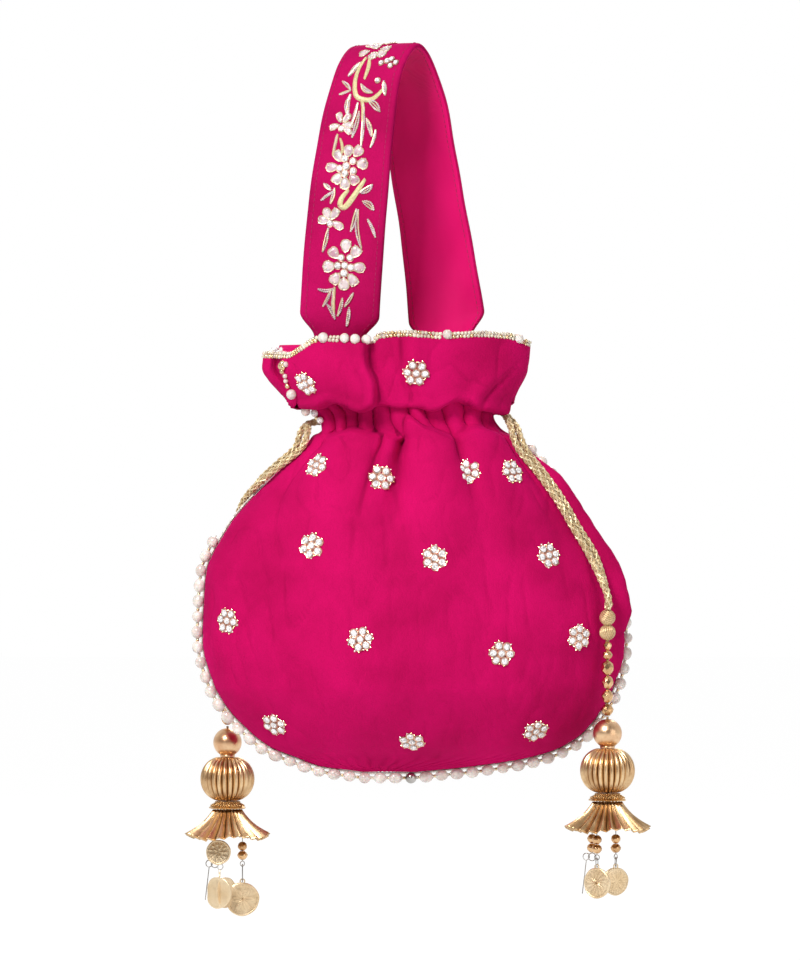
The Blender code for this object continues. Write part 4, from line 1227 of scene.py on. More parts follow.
@dataclass
class StrapForm:
    """Middle line and frames of the carrying strap."""

    width: float = 39.0 * MM
    end_width: float = 24.0 * MM
    end_share: float = 0.034
    taper_share: float = 0.036
    frames: list[tuple[Vector, Vector, Vector]] = field(init=False)
    length: float = field(init=False)

    def __post_init__(self) -> None:
        """Draw the middle line and lay the frames along it."""
        route = [Vector((x, y, z)) * MM for x, y, z, _ in STRAP_ROUTE]
        leans = [Vector((lean, 0.0, 0.0)) for _, _, _, lean in STRAP_ROUTE]
        fine = smooth_route(route, 40)
        fine_leans = smooth_route(leans, 40)
        lengths = np.concatenate([[0.0], np.cumsum([(b - a).length for a, b in zip(fine, fine[1:])])])
        self.length = float(lengths[-1])
        self.frames = []
        count = 360
        for station in range(count + 1):
            target = station / count * self.length
            index = min(int(np.searchsorted(lengths, target, side="right")) - 1, len(fine) - 2)
            index = max(index, 0)
            ratio = (target - lengths[index]) / (lengths[index + 1] - lengths[index])
            point = fine[index].lerp(fine[index + 1], ratio)
            lean = radians(fine_leans[index].lerp(fine_leans[index + 1], ratio).x)
            low = fine[max(index - 1, 0)]
            high = fine[min(index + 2, len(fine) - 1)]
            along = (high - low).normalized()
            across = Vector((cos(lean), -sin(lean), 0.0))
            across = (across - along * across.dot(along)).normalized()
            self.frames.append((point, across, across.cross(along).normalized()))

    def end(self, share: float) -> float:
        """Ease from 1 at the sewn ends to 0 above the mouth."""
        return 1.0 - ease((min(share, 1.0 - share) - self.end_share) / self.taper_share)

    def half_width(self, share: float) -> float:
        """Half of the width at a share of the length."""
        return (self.width - (self.width - self.end_width) * self.end(share)) / 2.0

    def frame_at(self, share: float) -> tuple[Vector, Vector, Vector]:
        """Middle, direction across and outward direction at a share of the length."""
        place = min(max(share, 0.0), 1.0) * (len(self.frames) - 1)
        index = min(int(place), len(self.frames) - 2)
        ratio = place - index
        middle, across, outward = (
            a.lerp(b, ratio) for a, b in zip(self.frames[index], self.frames[index + 1])
        )
        return middle, across.normalized(), outward.normalized()

    def cup(self, share: float) -> float:
        """Depth by which the band cups in at its edges."""
        return 1.2 * MM + 2.4 * MM * self.end(share)

    def spot(self, share: float, place: float, lift: float) -> Vector:
        """Point over the band.

        Args:
            share: Share of the length.
            place: Place across, from -1 to 1.
            lift: Distance out from the inner face.

        Returns:
            The point.
        """
        middle, across, outward = self.frame_at(share)
        crumple = 0.5 * MM * sin(share * 61.0 + place * 1.7) * (1.0 - self.end(share))
        crumple += 0.5 * MM * sin(share * 23.0 - place * 2.6)
        return (
            middle + across * (self.half_width(share) * place)
            + outward * (lift - self.cup(share) * place * place + crumple * 0.6)
        )


@dataclass
class Strap:
    """Carrying strap: an embroidered velvet face, a satin backing and stitched edges."""

    form: StrapForm
    finishes: Finishes
    backing_lift: float = 0.35 * MM
    face_lift: float = 2.05 * MM
    stations: int = 300
    pitch: float = 2.6 * MM
    stitch_share: float = 0.62
    stitch_radius: float = 0.17 * MM
    satin_share: float = 0.975

    def layer(
        self, name: str, lift: float, thickness: float, reach: float, columns: int,
        material: Material, roll: float,
    ) -> Item:
        """Build one layer.

        Args:
            name: Name of the piece.
            lift: Distance from the inner face.
            thickness: Thickness of the layer.
            reach: Share of the strap's width that it covers.
            columns: Points across.
            material: Its finish.
            roll: Depth by which its edges roll inward.

        Returns:
            The layer.
        """
        grid = np.zeros((self.stations + 1, columns, 3))
        for row in range(self.stations + 1):
            share = row / self.stations
            for column in range(columns):
                place = 2.0 * column / (columns - 1) - 1.0
                edge = max(abs(place) - 0.93, 0.0) / 0.07
                point = self.form.spot(share, place * reach, lift - roll * edge * edge)
                grid[row, column] = point
        item = cloth_mesh(name, grid, material, False)
        thicken(item, thickness)
        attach(item, "bag")
        return item

    def stitches(self) -> Item:
        """Sew a row of short stitches inside each edge, on both faces."""
        sketch = Sketch()
        count = int(self.form.length / self.pitch)
        for place in (-0.86, 0.86):
            for lift in (self.face_lift + 0.72 * MM, self.backing_lift - 0.42 * MM):
                for index in range(3, count - 3):
                    start = index / count
                    end = start + self.stitch_share / count
                    line = [self.form.spot(start + (end - start) * t, place, lift) for t in (0.0, 0.5, 1.0)]
                    sketch.tube(line, self.stitch_radius, 5)
        item = sketch.finish("strap_stitches", [self.finishes.thread_pink])
        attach(item, "bag")
        return item

    def build(self) -> list[Item]:
        """Build the strap's layers and stitches."""
        face = self.layer(
            "strap_velvet", self.face_lift, 1.2 * MM, 1.0, 34, self.finishes.velvet_strap, 1.1 * MM,
        )
        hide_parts("strap_face")
        back = self.layer(
            "strap_satin", self.backing_lift, 0.6 * MM, self.satin_share, 34, self.finishes.satin_strap, 0.0
        )
        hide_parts("strap_backing")
        return [face, back, self.stitches()]


@dataclass
class Braid:
    """Round braid of metallic strands over a core."""

    diameter: float = 3.5 * MM
    strands: int = 8
    lay: float = 14.0 * MM
    strand_radius: float = 0.47 * MM
    weave: float = 0.20 * MM
    core: float = 1.08 * MM
    step: float = 0.9 * MM

    def add(self, sketch: Sketch, line: Sequence[Vector]) -> list[Vector]:
        """Add the braid along a line.

        Args:
            sketch: Mesh that takes it.
            line: Middle of the braid.

        Returns:
            The middle line at even steps.
        """
        places = even_route(line, self.step)
        frames = carried_frames(places, Vector((0.0, 1.0, 0.13)))
        spacing = route_length(places) / (len(places) - 1)
        middle = self.diameter / 2.0 - self.strand_radius
        half = self.strands // 2
        for strand in range(self.strands):
            way = 1 if strand < half else -1
            start = TURN * (strand % half) / half
            route = []
            for index, (place, (_, side, outward)) in enumerate(zip(places, frames)):
                run = TURN * index * spacing / self.lay
                turn = start + way * run
                over = cos(half * run + way * pi / 2.0)
                reach = middle + way * over * self.weave
                route.append(place + side * (cos(turn) * reach) + outward * (sin(turn) * reach))
            sketch.tube(route, self.strand_radius, 5, slot=strand % 2, flat=0.85)
        sketch.tube(places[::3] + [places[-1]], self.core, 6, slot=1)
        return places


# Ways of the free strands: height, distance along the cloth from the seam and lift, in millimetres
STRAND_WAYS: dict[Side, tuple[tuple[float, float, float], ...]] = {
    Side.RIGHT: (
        (-189.0, 3.2, 1.0), (-195.0, 7.0, 1.0), (-202.0, 9.6, 0.6), (-213.0, 10.2, 0.2),
        (-226.0, 11.0, 0.0), (-240.0, 12.0, 0.0), (-254.0, 14.0, 0.4),
    ),
    Side.LEFT: (
        (-192.0, -4.5, 1.6), (-200.0, -5.5, 1.4), (-208.0, -4.5, 1.2), (-217.0, -1.0, 1.4),
        (-226.0, 5.0, 1.0), (-237.0, 13.0, 0.6), (-248.0, 21.0, 0.3), (-260.0, 28.0, 0.4),
    ),
}


@dataclass
class Drawstring:
    """One drawstring: a loop inside the casing and two braided strands down to a knot."""

    side: Side
    form: BagForm
    finishes: Finishes
    level: float
    axis: tuple[float, float]
    knot_top: float
    braid: Braid = field(default_factory=Braid)
    spacing: float = 4.4 * MM
    lane_shift: float = 2.2 * MM
    knot_lane: float = 2.0 * MM
    cloth_gap: float = 1.4 * MM
    gather_height: float = 2.4 * MM
    gather_reach: float = 32.0 * MM

    @property
    def face(self) -> Face:
        """Face of the bag over which the strands run."""
        return Face.FRONT if self.side is Side.RIGHT else Face.BACK

    def angle_from_seam(self, arc: float, height: float) -> float:
        """Angle from a side seam at which the section has run a given length."""
        _, width, depth = self.form.sizes_at(height)
        step = radians(0.5)
        angle = 0.0
        run = 0.0
        previous = Vector((-width, 0.0))
        while run < arc:
            angle += step
            point = Vector((-width * cos(angle), depth * sin(angle) ** self.form.power))
            run += (point - previous).length
            previous = point
        return angle

    def beside_seam(self, arc: float, height: float, offset: float) -> Vector:
        """Point over the velvet at a length from the seam; a negative length is past it."""
        face = self.face
        if arc < 0.0:
            face = Face.BACK if face is Face.FRONT else Face.FRONT
            arc = -arc
        angle = self.angle_from_seam(arc, height)
        if self.side is Side.RIGHT:
            angle = pi - angle
        return Vector(self.form.points(face, np.array([angle]), np.array([height]), offset)[0])

    def strand(self, lane: int) -> list[Vector]:
        """Few points of one free strand, from inside the slit to the knot.

        Args:
            lane: 1 or -1, the strand's place beside the other.

        Returns:
            The points.
        """
        sign = float(self.side.value)
        middle, width, _ = self.form.sizes_at(self.level)
        edge = middle + sign * width
        shift = -self.face.value * lane * self.lane_shift
        points = [
            Vector((edge - sign * 4.0 * MM, shift, self.level)),
            Vector((edge + sign * 1.5 * MM, shift, self.level - 0.8 * MM)),
        ]
        for level, arc, lift in STRAND_WAYS[self.side]:
            height = level * MM
            drop = self.form.casing - height
            gathers = self.gather_height * exp(-((drop / self.gather_reach) ** 2))
            offset = self.cloth_gap + self.braid.diameter / 2.0 + gathers + lift * MM
            points.append(self.beside_seam(arc * MM + lane * self.spacing / 2.0, height, offset))
        end_lane = -1.0 if (lane > 0) == (self.face is Face.FRONT) else 1.0
        end = Vector((self.axis[0], self.axis[1] + end_lane * self.knot_lane, self.knot_top))
        points.append(end + Vector((0.0, 0.0, 7.0 * MM)))
        points.append(end)
        return points

    def loop(self) -> Item:
        """Part of the drawstring that runs round the bag inside the casing."""
        inset = 4.6 * MM
        middle, width, depth = self.form.sizes_at(self.level)
        points = []
        steps = 60
        start = 0.0 if self.side is Side.RIGHT else pi
        for step in range(2, steps - 1):
            turn = start + TURN * step / steps
            rise = abs(sin(turn)) ** self.form.power
            y = (depth - inset * 1.1) * rise * (1.0 if sin(turn) > 0.0 else -1.0)
            x = middle + (width - inset * 1.3) * cos(turn)
            points.append(Vector((x, y, self.level)))
        sketch = Sketch()
        sketch.tube(points, 1.6 * MM, 8)
        item = sketch.finish(f"drawstring_loop_{self.side.word}", [self.finishes.braid])
        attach(item, "bag")
        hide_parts(f"drawstring_{self.side.word}")
        return item

    def build(self) -> list[Item]:
        """Braid the two free strands and lay the loop."""
        items = []
        for lane in (1, -1):
            sketch = Sketch()
            line = smooth_route(self.strand(lane), 14)
            places = self.braid.add(sketch, line)
            lane_word = "outer" if lane > 0 else "inner"
            item = sketch.finish(
                f"drawstring_{self.side.word}_{lane_word}", [self.finishes.braid, self.finishes.braid_dark],
                60.0,
            )
            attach(item, "bag")
            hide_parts(f"drawstring_{self.side.word}")
            items.append(item)
        items.append(self.loop())
        return items


class Stamp(Enum):
    """Generic relief struck on a coin."""

    FLOWER = "flower"
    RAYS = "rays"
    DOTS = "dots"


@dataclass
class CoinCut:
    """Outline and relief of a struck coin."""

    radius: float
    stamp: Stamp
    thickness: float = 0.9 * MM
    relief: float = 0.32 * MM
    bean: float = 0.0
    warp: float = 0.35 * MM

    def outline(self, turn: float) -> float:
        """Share of the radius at a turn: nearly round, or bean-shaped."""
        uneven = 1.0 + 0.012 * sin(3.0 * turn + 0.8) + 0.008 * sin(7.0 * turn)
        if self.bean > 0.0:
            uneven *= 1.0 - self.bean * exp(-((cos(turn / 2.0) / 0.42) ** 2))
        return uneven

    def height(self, share: float, turn: float) -> float:
        """Height of the relief at a place on the coin."""
        rim = exp(-(((share - 0.93) / 0.05) ** 2)) * 0.9
        field_height = 0.0
        if self.stamp is Stamp.FLOWER:
            petal = abs(cos(3.0 * turn)) * 0.62 + 0.10
            field_height = ease((petal - share) / 0.10) * (0.75 - 0.35 * abs(cos(9.0 * turn)))
            field_height += exp(-((share / 0.13) ** 2)) * 0.5
        elif self.stamp is Stamp.RAYS:
            ray = abs(cos(7.0 * turn + 2.2 * share))
            field_height = ease((0.80 - share) / 0.08) * ray ** 3 * 0.8
            field_height += ease((0.24 - share) / 0.08) * 0.8
        else:
            for ring, count in ((0.30, 5), (0.62, 11)):
                wave = cos(count * turn)
                field_height += exp(-(((share - ring) / 0.09) ** 2)) * ease((wave - 0.1) / 0.7)
        ring_dots = exp(-(((share - 0.80) / 0.035) ** 2)) * ease((cos(26.0 * turn) - 0.1) / 0.6)
        return (rim + field_height * 0.9 + ring_dots * 0.5) * self.relief

    def add(self, sketch: Sketch, middle: Vector, facing: Vector, upward: Vector, slot: int) -> None:
        """Add the coin.

        Args:
            sketch: Mesh that takes it.
            middle: Its middle.
            facing: Direction out of its face.
            upward: Direction of its top.
            slot: Material slot.
        """
        facing = facing.normalized()
        side = upward.cross(facing).normalized()
        upward = facing.cross(side)
        steps = 84
        shares = [0.0001, 0.08, 0.16, 0.24, 0.32, 0.40, 0.48, 0.56, 0.64, 0.72, 0.78, 0.82, 0.87, 0.92, 0.96]
        front: list[list[Vector]] = []
        back: list[list[Vector]] = []
        for share in shares:
            upper = []
            lower = []
            for turn in turns(steps):
                reach = self.radius * share * (1.0 + (self.outline(turn) - 1.0) * share)
                flat = side * (cos(turn) * reach) + upward * (sin(turn) * reach)
                bend = self.warp * (share * cos(turn + 0.6)) ** 2
                lift = self.thickness / 2.0 + self.height(share, turn)
                drop = self.thickness / 2.0 + self.height(share, -turn)
                upper.append(middle + flat + facing * (lift - bend))
                lower.append(middle + flat - facing * (drop + bend))
            front.append(upper)
            back.append(lower)
        rim = []
        for place in (0.35, -0.35):
            ring = []
            for turn in turns(steps):
                reach = self.radius * self.outline(turn)
                flat = side * (cos(turn) * reach) + upward * (sin(turn) * reach)
                bend = self.warp * cos(turn + 0.6) ** 2
                ring.append(middle + flat + facing * (self.thickness * place - bend))
            rim.append(ring)
        sketch.rings(front + rim + list(reversed(back)), slot=slot)


@dataclass
class TasselPlan:
    """Places along a tassel's axis on the right side; the left side hangs a little lower."""

    knot_upper: float = -284.2 * MM
    knot_lower: float = -291.6 * MM
    knot_radius: float = 3.75 * MM
    string_top: float = -296.2 * MM
    string_foot: float = -334.0 * MM
    ball: float = -341.8 * MM
    ball_radius: float = 7.2 * MM
    melon: float = -360.2 * MM
    melon_radius: float = 13.7 * MM
    melon_half: float = 10.9 * MM
    ring: float = -373.4 * MM
    skirt_top: float = -375.9 * MM
    skirt_foot: float = -389.4 * MM
    skirt_top_radius: float = 6.6 * MM
    skirt_radius: float = 20.0 * MM
    wire: float = 0.27 * MM
    pin_wire: float = 0.32 * MM
    hanger_top: float = -386.0 * MM
    link_top: float = -404.0 * MM


# Beads on the string: height, radius and half height in millimetres
STRING_BEADS: tuple[tuple[float, float, float], ...] = (
    (-298.3, 2.2, 2.0), (-302.9, 2.5, 2.2), (-309.3, 3.3, 3.4), (-316.4, 3.0, 3.1),
    (-323.4, 3.0, 3.1), (-330.1, 3.1, 2.8),
)


@dataclass
class Tassel:
    """Wrapped knots, beads, ball, ribbed melon, pleated skirt and the charms under it."""

    side: Side
    axis: tuple[float, float]
    drop: float
    finishes: Finishes
    plan: TasselPlan = field(default_factory=TasselPlan)
    ribs: int = 27
    groove: float = 0.150
    wraps: int = 11
    pleats: int = 24
    # Granules on the dish: distance from its axis, height, both in millimetres, and their number
    granules: tuple[tuple[float, float, int], ...] = (
        (6.0, 1.5, 34), (6.6, 0.7, 38), (7.5, 0.2, 42), (8.3, -0.2, 46),
    )

    def spot(self, height: float, x: float = 0.0, y: float = 0.0) -> Vector:
        """Point beside the axis at a height of the right tassel."""
        return Vector((self.axis[0] + x, self.axis[1] + y, height - self.drop))

    def claim(self, item: Item, body: str, node: str) -> Item:
        """Place a piece on its body in the stead of its node."""
        word = self.side.word
        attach(item, f"{body}_{word}")
        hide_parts(f"{node}_{word}")
        return item

    def hung(self, sketch: Sketch, label: str) -> Item:
        """Make a charm and place it on its body."""
        finishes = self.finishes
        materials = [finishes.coin_gold, finishes.bead_gold, finishes.wire_steel]
        item = sketch.finish(f"{label}_hung_{self.side.word}", materials)
        return self.claim(item, f"body_charm_{label}", f"charm_{label}")

    def knots(self) -> Item:
        """Two balls wrapped with thread."""
        sketch = Sketch()
        plan = self.plan
        for height, lean in ((plan.knot_upper, 0.35), (plan.knot_lower, 1.25)):
            middle = self.spot(height)
            axis = Vector((sin(lean), -0.25, cos(lean))).normalized()
            side = axis.orthogonal().normalized()
            other = axis.cross(side)
            sketch.ball(middle, plan.knot_radius - 0.35 * MM, 10, 16, slot=1)
            steps = self.wraps * 26
            line = []
            for step in range(steps + 1):
                share = step / steps
                lift = cos(pi * (0.03 + 0.94 * share))
                reach = plan.knot_radius - 0.15 * MM
                ring = sqrt(max(1.0 - lift * lift, 0.0)) * reach
                turn = TURN * self.wraps * share
                line.append(
                    middle + axis * (lift * reach) + side * (cos(turn) * ring) + other * (sin(turn) * ring)
                )
            sketch.tube(line, 0.46 * MM, 6, slot=0)
        sketch.tube([self.spot(-286.0 * MM), self.spot(-290.0 * MM)], 1.6 * MM, 10, slot=1)
        sketch.tube([self.spot(-294.0 * MM), self.spot(plan.string_top - 1.0 * MM)], 0.9 * MM, 8, slot=1)
        item = sketch.finish(
            f"wrapped_knots_{self.side.word}", [self.finishes.knot, self.finishes.knot_dark], 60.0,
        )
        return self.claim(item, "knot_body", "knot")

    def faceted_bead(
        self, sketch: Sketch, middle: Vector, radius: float, half: float, salt: int, slot: int,
    ) -> None:
        """Add a bead cut with uneven facets."""
        section = ((0.42, 1.0), (0.80, 0.62), (1.0, 0.10), (0.92, -0.38), (0.62, -0.80), (0.40, -1.0))
        rings = []
        sides = 8
        for row, (share, level) in enumerate(section):
            ring = []
            for step in range(sides):
                turn = TURN * (step + 0.5 * (row % 2) + 0.2 * salt) / sides
                uneven = 1.0 + 0.07 * (chance(step + row * 9, salt) - 0.5)
                reach = radius * share * uneven
                ring.append(middle + Vector((cos(turn) * reach, sin(turn) * reach, half * level)))
            rings.append(ring)
        points = [point for ring in rings for point in ring]
        faces: list[tuple[int, ...]] = []
        for row in range(len(rings) - 1):
            low = row * sides
            high = low + sides
            for step in range(sides):
                after = (step + 1) % sides
                if row % 2 == 0:
                    faces.append((low + step, low + after, high + step))
                    faces.append((low + after, high + after, high + step))
                else:
                    faces.append((low + step, high + after, high + step))
                    faces.append((low + step, low + after, high + after))
        faces.append(tuple(reversed(range(sides))))
        faces.append(tuple(range((len(rings) - 1) * sides, len(rings) * sides)))
        sketch.add(points, faces, slot)

    def string(self) -> Item:
        """String of cut beads between the knots and the ball."""
        sketch = Sketch()
        plan = self.plan
        for number, (height, radius, half) in enumerate(STRING_BEADS):
            middle = self.spot(height * MM, 0.25 * MM * (chance(number, 5) - 0.5))
            self.faceted_bead(sketch, middle, radius * MM, half * MM, number, 0)
        sketch.tube(
            [self.spot(plan.string_top), self.spot(plan.string_foot + 1.6 * MM)], 0.55 * MM, 8, slot=1,
        )
        item = sketch.finish(
            f"cut_beads_{self.side.word}", [self.finishes.bead_gold, self.finishes.knot_dark], 12.0,
        )
        return self.claim(item, "knot_body", "bead_string")

    def ball(self) -> Item:
        """Smooth satin-gold ball with a worn lip at its foot."""
        plan = self.plan
        radius = plan.ball_radius
        section = []
        rows = 26
        for row in range(rows + 1):
            lean = radians(12.0 + (150.0 - 12.0) * row / rows)
            section.append((sin(lean) * radius, cos(lean) * radius))
        section.append((0.0038, -0.0066))
        section.append((0.0036, -0.0073))
        sketch = Sketch()
        sketch.turned(section, self.spot(plan.ball), 44)
        item = sketch.finish(f"satin_ball_{self.side.word}", [self.finishes.ball_gold], 50.0)
        return self.claim(item, "tassel", "ball")

    def melon(self) -> Item:
        """Melon bead with narrow ribs pinched together at both ends."""
        plan = self.plan
        sketch = Sketch()
        rows = 30
        pole = 19.0
        section = []
        for row in range(rows + 1):
            lean = radians(pole + (180.0 - 2.0 * pole) * row / rows)
            reach = sin(lean) ** 0.78 * plan.melon_radius
            section.append((reach, cos(lean) / cos(radians(pole)) * plan.melon_half))

        def ribbed(turn: float, share: float) -> float:
            """Factor on the radius: rounded ribs with narrow grooves between."""
            phase = turn * self.ribs / 2.0 + 0.10 * sin(turn * 3.0 + 4.0 * share)
            groove = 1.0 - abs(sin(phase)) ** 0.75
            ends = 1.0 + 0.9 * abs(2.0 * share - 1.0) ** 3
            rib = int(turn * self.ribs / TURN)
            return 1.0 - self.groove * ends * groove + 0.010 * (chance(rib, 2) - 0.5)

        sketch.turned(section, self.spot(plan.melon), self.ribs * 10, ribbed)
        item = sketch.finish(f"ribbed_melon_{self.side.word}", [self.finishes.melon_gold], 80.0)
        return self.claim(item, "melon_body", "melon")

    def collar(self) -> Item:
        """Flared dish over the skirt, with granules soldered on its top."""
        plan = self.plan
        sketch = Sketch()
        section = (
            (2.0, 1.9), (5.4, 2.0), (5.9, 1.4), (6.3, 0.5), (8.4, -0.5), (9.3, -1.3), (9.1, -1.7),
            (7.6, -1.0), (5.6, -1.2), (2.0, -1.3),
        )
        profile = [(radius * MM, height * MM) for radius, height in section]

        def waved(turn: float, share: float) -> float:
            """Factor on the radius: an uneven, softly scalloped lip."""
            wave = 0.035 * sin(9.0 * turn) + 0.02 * sin(4.0 * turn + 1.0)
            return 1.0 + wave * ease(share * 2.0)

        middle = self.spot(plan.ring)
        sketch.turned(profile, middle, 60, waved)
        for row, (reach, height, count) in enumerate(self.granules):
            for grain in range(count):
                turn = TURN * (grain + 0.5 * (row % 2)) / count
                away = (reach + 0.2 * (chance(grain, row) - 0.5)) * MM
                place = middle + Vector((cos(turn) * away, sin(turn) * away, height * MM))
                sketch.ball(place, 0.48 * MM * (0.85 + 0.3 * chance(grain, row + 4)), 4, 6)
        item = sketch.finish(f"granulated_collar_{self.side.word}", [self.finishes.collar_gold], 50.0)
        return self.claim(item, "tassel", "collar_ring")

    def skirt(self) -> Item:
        """Skirt folded like a fan from thin gold foil, with a flared and curled hem."""
        plan = self.plan
        rows = 16
        around = self.pleats * 12
        grid = np.zeros((rows + 1, around, 3))
        for row in range(rows + 1):
            share = row / rows
            reach = plan.skirt_top_radius + (plan.skirt_radius - plan.skirt_top_radius) * (
                0.62 * share + 0.38 * share ** 2.2
            )
            height = plan.skirt_top + (plan.skirt_foot - plan.skirt_top) * (share ** 0.92)
            for step in range(around):
                turn = TURN * step / around
                wander = 0.16 * sin(3.0 * turn + 1.3) + 0.10 * sin(5.0 * turn + 0.4)
                phase = self.pleats * turn + wander * 2.4 * share
                saw = 2.0 / pi * asin(0.97 * sin(phase))
                fold = saw * (0.95 + 2.15 * share) * MM * (1.0 + 0.25 * sin(2.0 * turn + 0.7))
                lift = 0.9 * MM * share ** 3 * sin(4.0 * turn + 0.5)
                away = reach + fold * 0.72 - max(fold, 0.0) * 0.20 * share
                z = height + fold * 0.30 + lift
                point = self.spot(z)
                grid[row, step] = (point.x + cos(turn) * away, point.y + sin(turn) * away, point.z)
        item = cloth_mesh(f"pleated_skirt_{self.side.word}", grid, self.finishes.skirt_gold, False, wrap=True)
        item.data.set_sharp_from_angle(angle=radians(45.0))
        thicken(item, 0.22 * MM)
        return self.claim(item, "skirt_body", "skirt")

    def ring(self, sketch: Sketch, middle: Vector, radius: float, wire: float, turn: float, slot: int,
             stretch: float = 1.0) -> None:
        """Add a wire ring or link that hangs upright."""
        line = []
        steps = 20
        side = Vector((cos(turn), sin(turn), 0.0))
        for step in range(steps + 1):
            place = TURN * (0.02 + 0.96 * step / steps)
            high = Vector((0.0, 0.0, cos(place) * radius * stretch))
            line.append(middle + side * (sin(place) * radius) + high)
        sketch.tube(line, wire, 6, slot=slot)

    def hanger(self, sketch: Sketch, x: float, y: float, foot: float, salt: int) -> None:
        """Add the wire and the two cut beads over a charm.

        Args:
            sketch: Mesh that takes them.
            x: Place across from the axis.
            y: Place in depth from the axis.
            foot: Height at which the wire ends.
            salt: Number that sets the unevenness.
        """
        for height, radius, step in ((-394.3, 2.5, 0), (-398.9, 2.7, 2)):
            self.faceted_bead(sketch, self.spot(height * MM, x, y), radius * MM, 2.2 * MM, salt + step, 1)
        sketch.tube(
            [self.spot(self.plan.hanger_top, x, y), self.spot(foot, x, y)], self.plan.pin_wire, 6, slot=2,
        )

    def coin_charm(
        self, label: str, x: float, y: float, height: float, cut: CoinCut, turn: float, salt: int,
    ) -> Item:
        """Build a coin on its beaded wire.

        Args:
            label: Name of the charm's node.
            x: Place across from the axis.
            y: Place in depth from the axis.
            height: Height of the coin's middle.
            cut: Outline and relief of the coin.
            turn: Turn of the coin about its wire.
            salt: Number that sets the unevenness.

        Returns:
            The charm.
        """
        sketch = Sketch()
        self.hanger(sketch, x, y, -402.0 * MM, salt)
        facing = Vector((sin(turn), -cos(turn), 0.0))
        top = height + cut.radius
        self.ring(sketch, self.spot(-403.1 * MM, x, y), 1.25 * MM, self.plan.wire, 0.4 + turn, 2)
        gap = self.plan.link_top - (top + 0.9 * MM)
        if gap > 0.6 * MM:
            link = (self.plan.link_top + top + 0.9 * MM) / 2.0
            self.ring(
                sketch, self.spot(link, x, y), 0.85 * MM, self.plan.wire, 1.5 + turn, 2,
                (gap / 2.0 + 0.7 * MM) / (0.85 * MM),
            )
        self.ring(sketch, self.spot(top + 0.5 * MM, x, y), 1.15 * MM, 0.35 * MM, turn, 0)
        cut.add(sketch, self.spot(height, x, y), facing, UP, 0)
        return self.hung(sketch, label)

    def pair_charm(self, x: float, y: float) -> Item:
        """Build the left tassel's upper coin with two bean-shaped coins under it."""
        sketch = Sketch()
        sketch.tube(
            [self.spot(-385.2 * MM, x, y), self.spot(-389.5 * MM, x, y)], self.plan.pin_wire, 6, slot=2,
        )
        self.ring(sketch, self.spot(-388.9 * MM, x, y), 1.1 * MM, self.plan.wire, 0.4, 2)
        CoinCut(6.3 * MM, Stamp.DOTS).add(
            sketch, self.spot(-397.0 * MM, x, y - 1.0 * MM), Vector((-0.15, -1.0, 0.1)), UP, 0,
        )
        self.ring(sketch, self.spot(-404.4 * MM, x + 1.0 * MM, y), 1.5 * MM, 0.3 * MM, 0.5, 2)
        self.ring(sketch, self.spot(-407.6 * MM, x + 0.6 * MM, y), 1.1 * MM, 0.3 * MM, 1.8, 0, 1.7)
        beans = (
            (-0.6, -0.2, 8.1, Vector((-0.55, -1.0, 0.0)), 0.30),
            (3.2, 1.3, 7.9, Vector((0.85, -0.9, 0.0)), 0.34),
        )
        for place_x, place_y, radius, facing, bean in beans:
            cut = CoinCut(radius * MM, Stamp.DOTS, relief=0.03 * MM, bean=bean)
            cut.add(sketch, self.spot(-417.4 * MM, x + place_x * MM, y + place_y * MM), facing, UP, 0)
        return self.hung(sketch, "coin_small")

    def pin_charm(self, x: float, y: float, lean: float) -> Item:
        """Build the strand that ends in a loose eye pin."""
        sketch = Sketch()
        self.hanger(sketch, x, y, -401.6 * MM, 5)
        self.ring(sketch, self.spot(-403.4 * MM, x, y), 1.9 * MM, self.plan.wire, 0.1, 2)
        self.ring(
            sketch, self.spot(-403.2 * MM, x - 3.2 * MM * lean, y - 0.6 * MM), 1.7 * MM, self.plan.wire,
            0.3, 2,
        )
        start = self.spot(-405.0 * MM, x - 3.2 * MM * lean, y - 0.6 * MM)
        end = self.spot(-421.6 * MM, x - 5.4 * MM * lean, y - 0.6 * MM)
        sketch.tube([start, start.lerp(end, 0.5), end], self.plan.wire, 6, slot=2)
        return self.hung(sketch, "pin")

    def build(self) -> list[Item]:
        """Build the tassel from the knots down to its charms."""
        items = [self.knots(), self.string(), self.ball(), self.melon(), self.collar(), self.skirt()]
        if self.side is Side.RIGHT:
            small = CoinCut(7.6 * MM, Stamp.RAYS)
            large = CoinCut(7.0 * MM, Stamp.DOTS)
            items.append(self.coin_charm("coin_small", -5.4 * MM, -4.5 * MM, -415.8 * MM, small, -0.60, 1))
            items.append(self.coin_charm("coin_large", 4.2 * MM, 2.5 * MM, -415.4 * MM, large, 0.45, 2))
            items.append(self.pin_charm(-7.5 * MM, 5.0 * MM, 0.9))
        else:
            large = CoinCut(8.5 * MM, Stamp.FLOWER)
            items.append(self.pair_charm(-4.5 * MM, -4.0 * MM))
            items.append(self.coin_charm("coin_large", 7.5 * MM, 1.5 * MM, -421.0 * MM, large, 0.15, 3))
            items.append(self.pin_charm(-6.5 * MM, 5.0 * MM, 0.9))
        return items


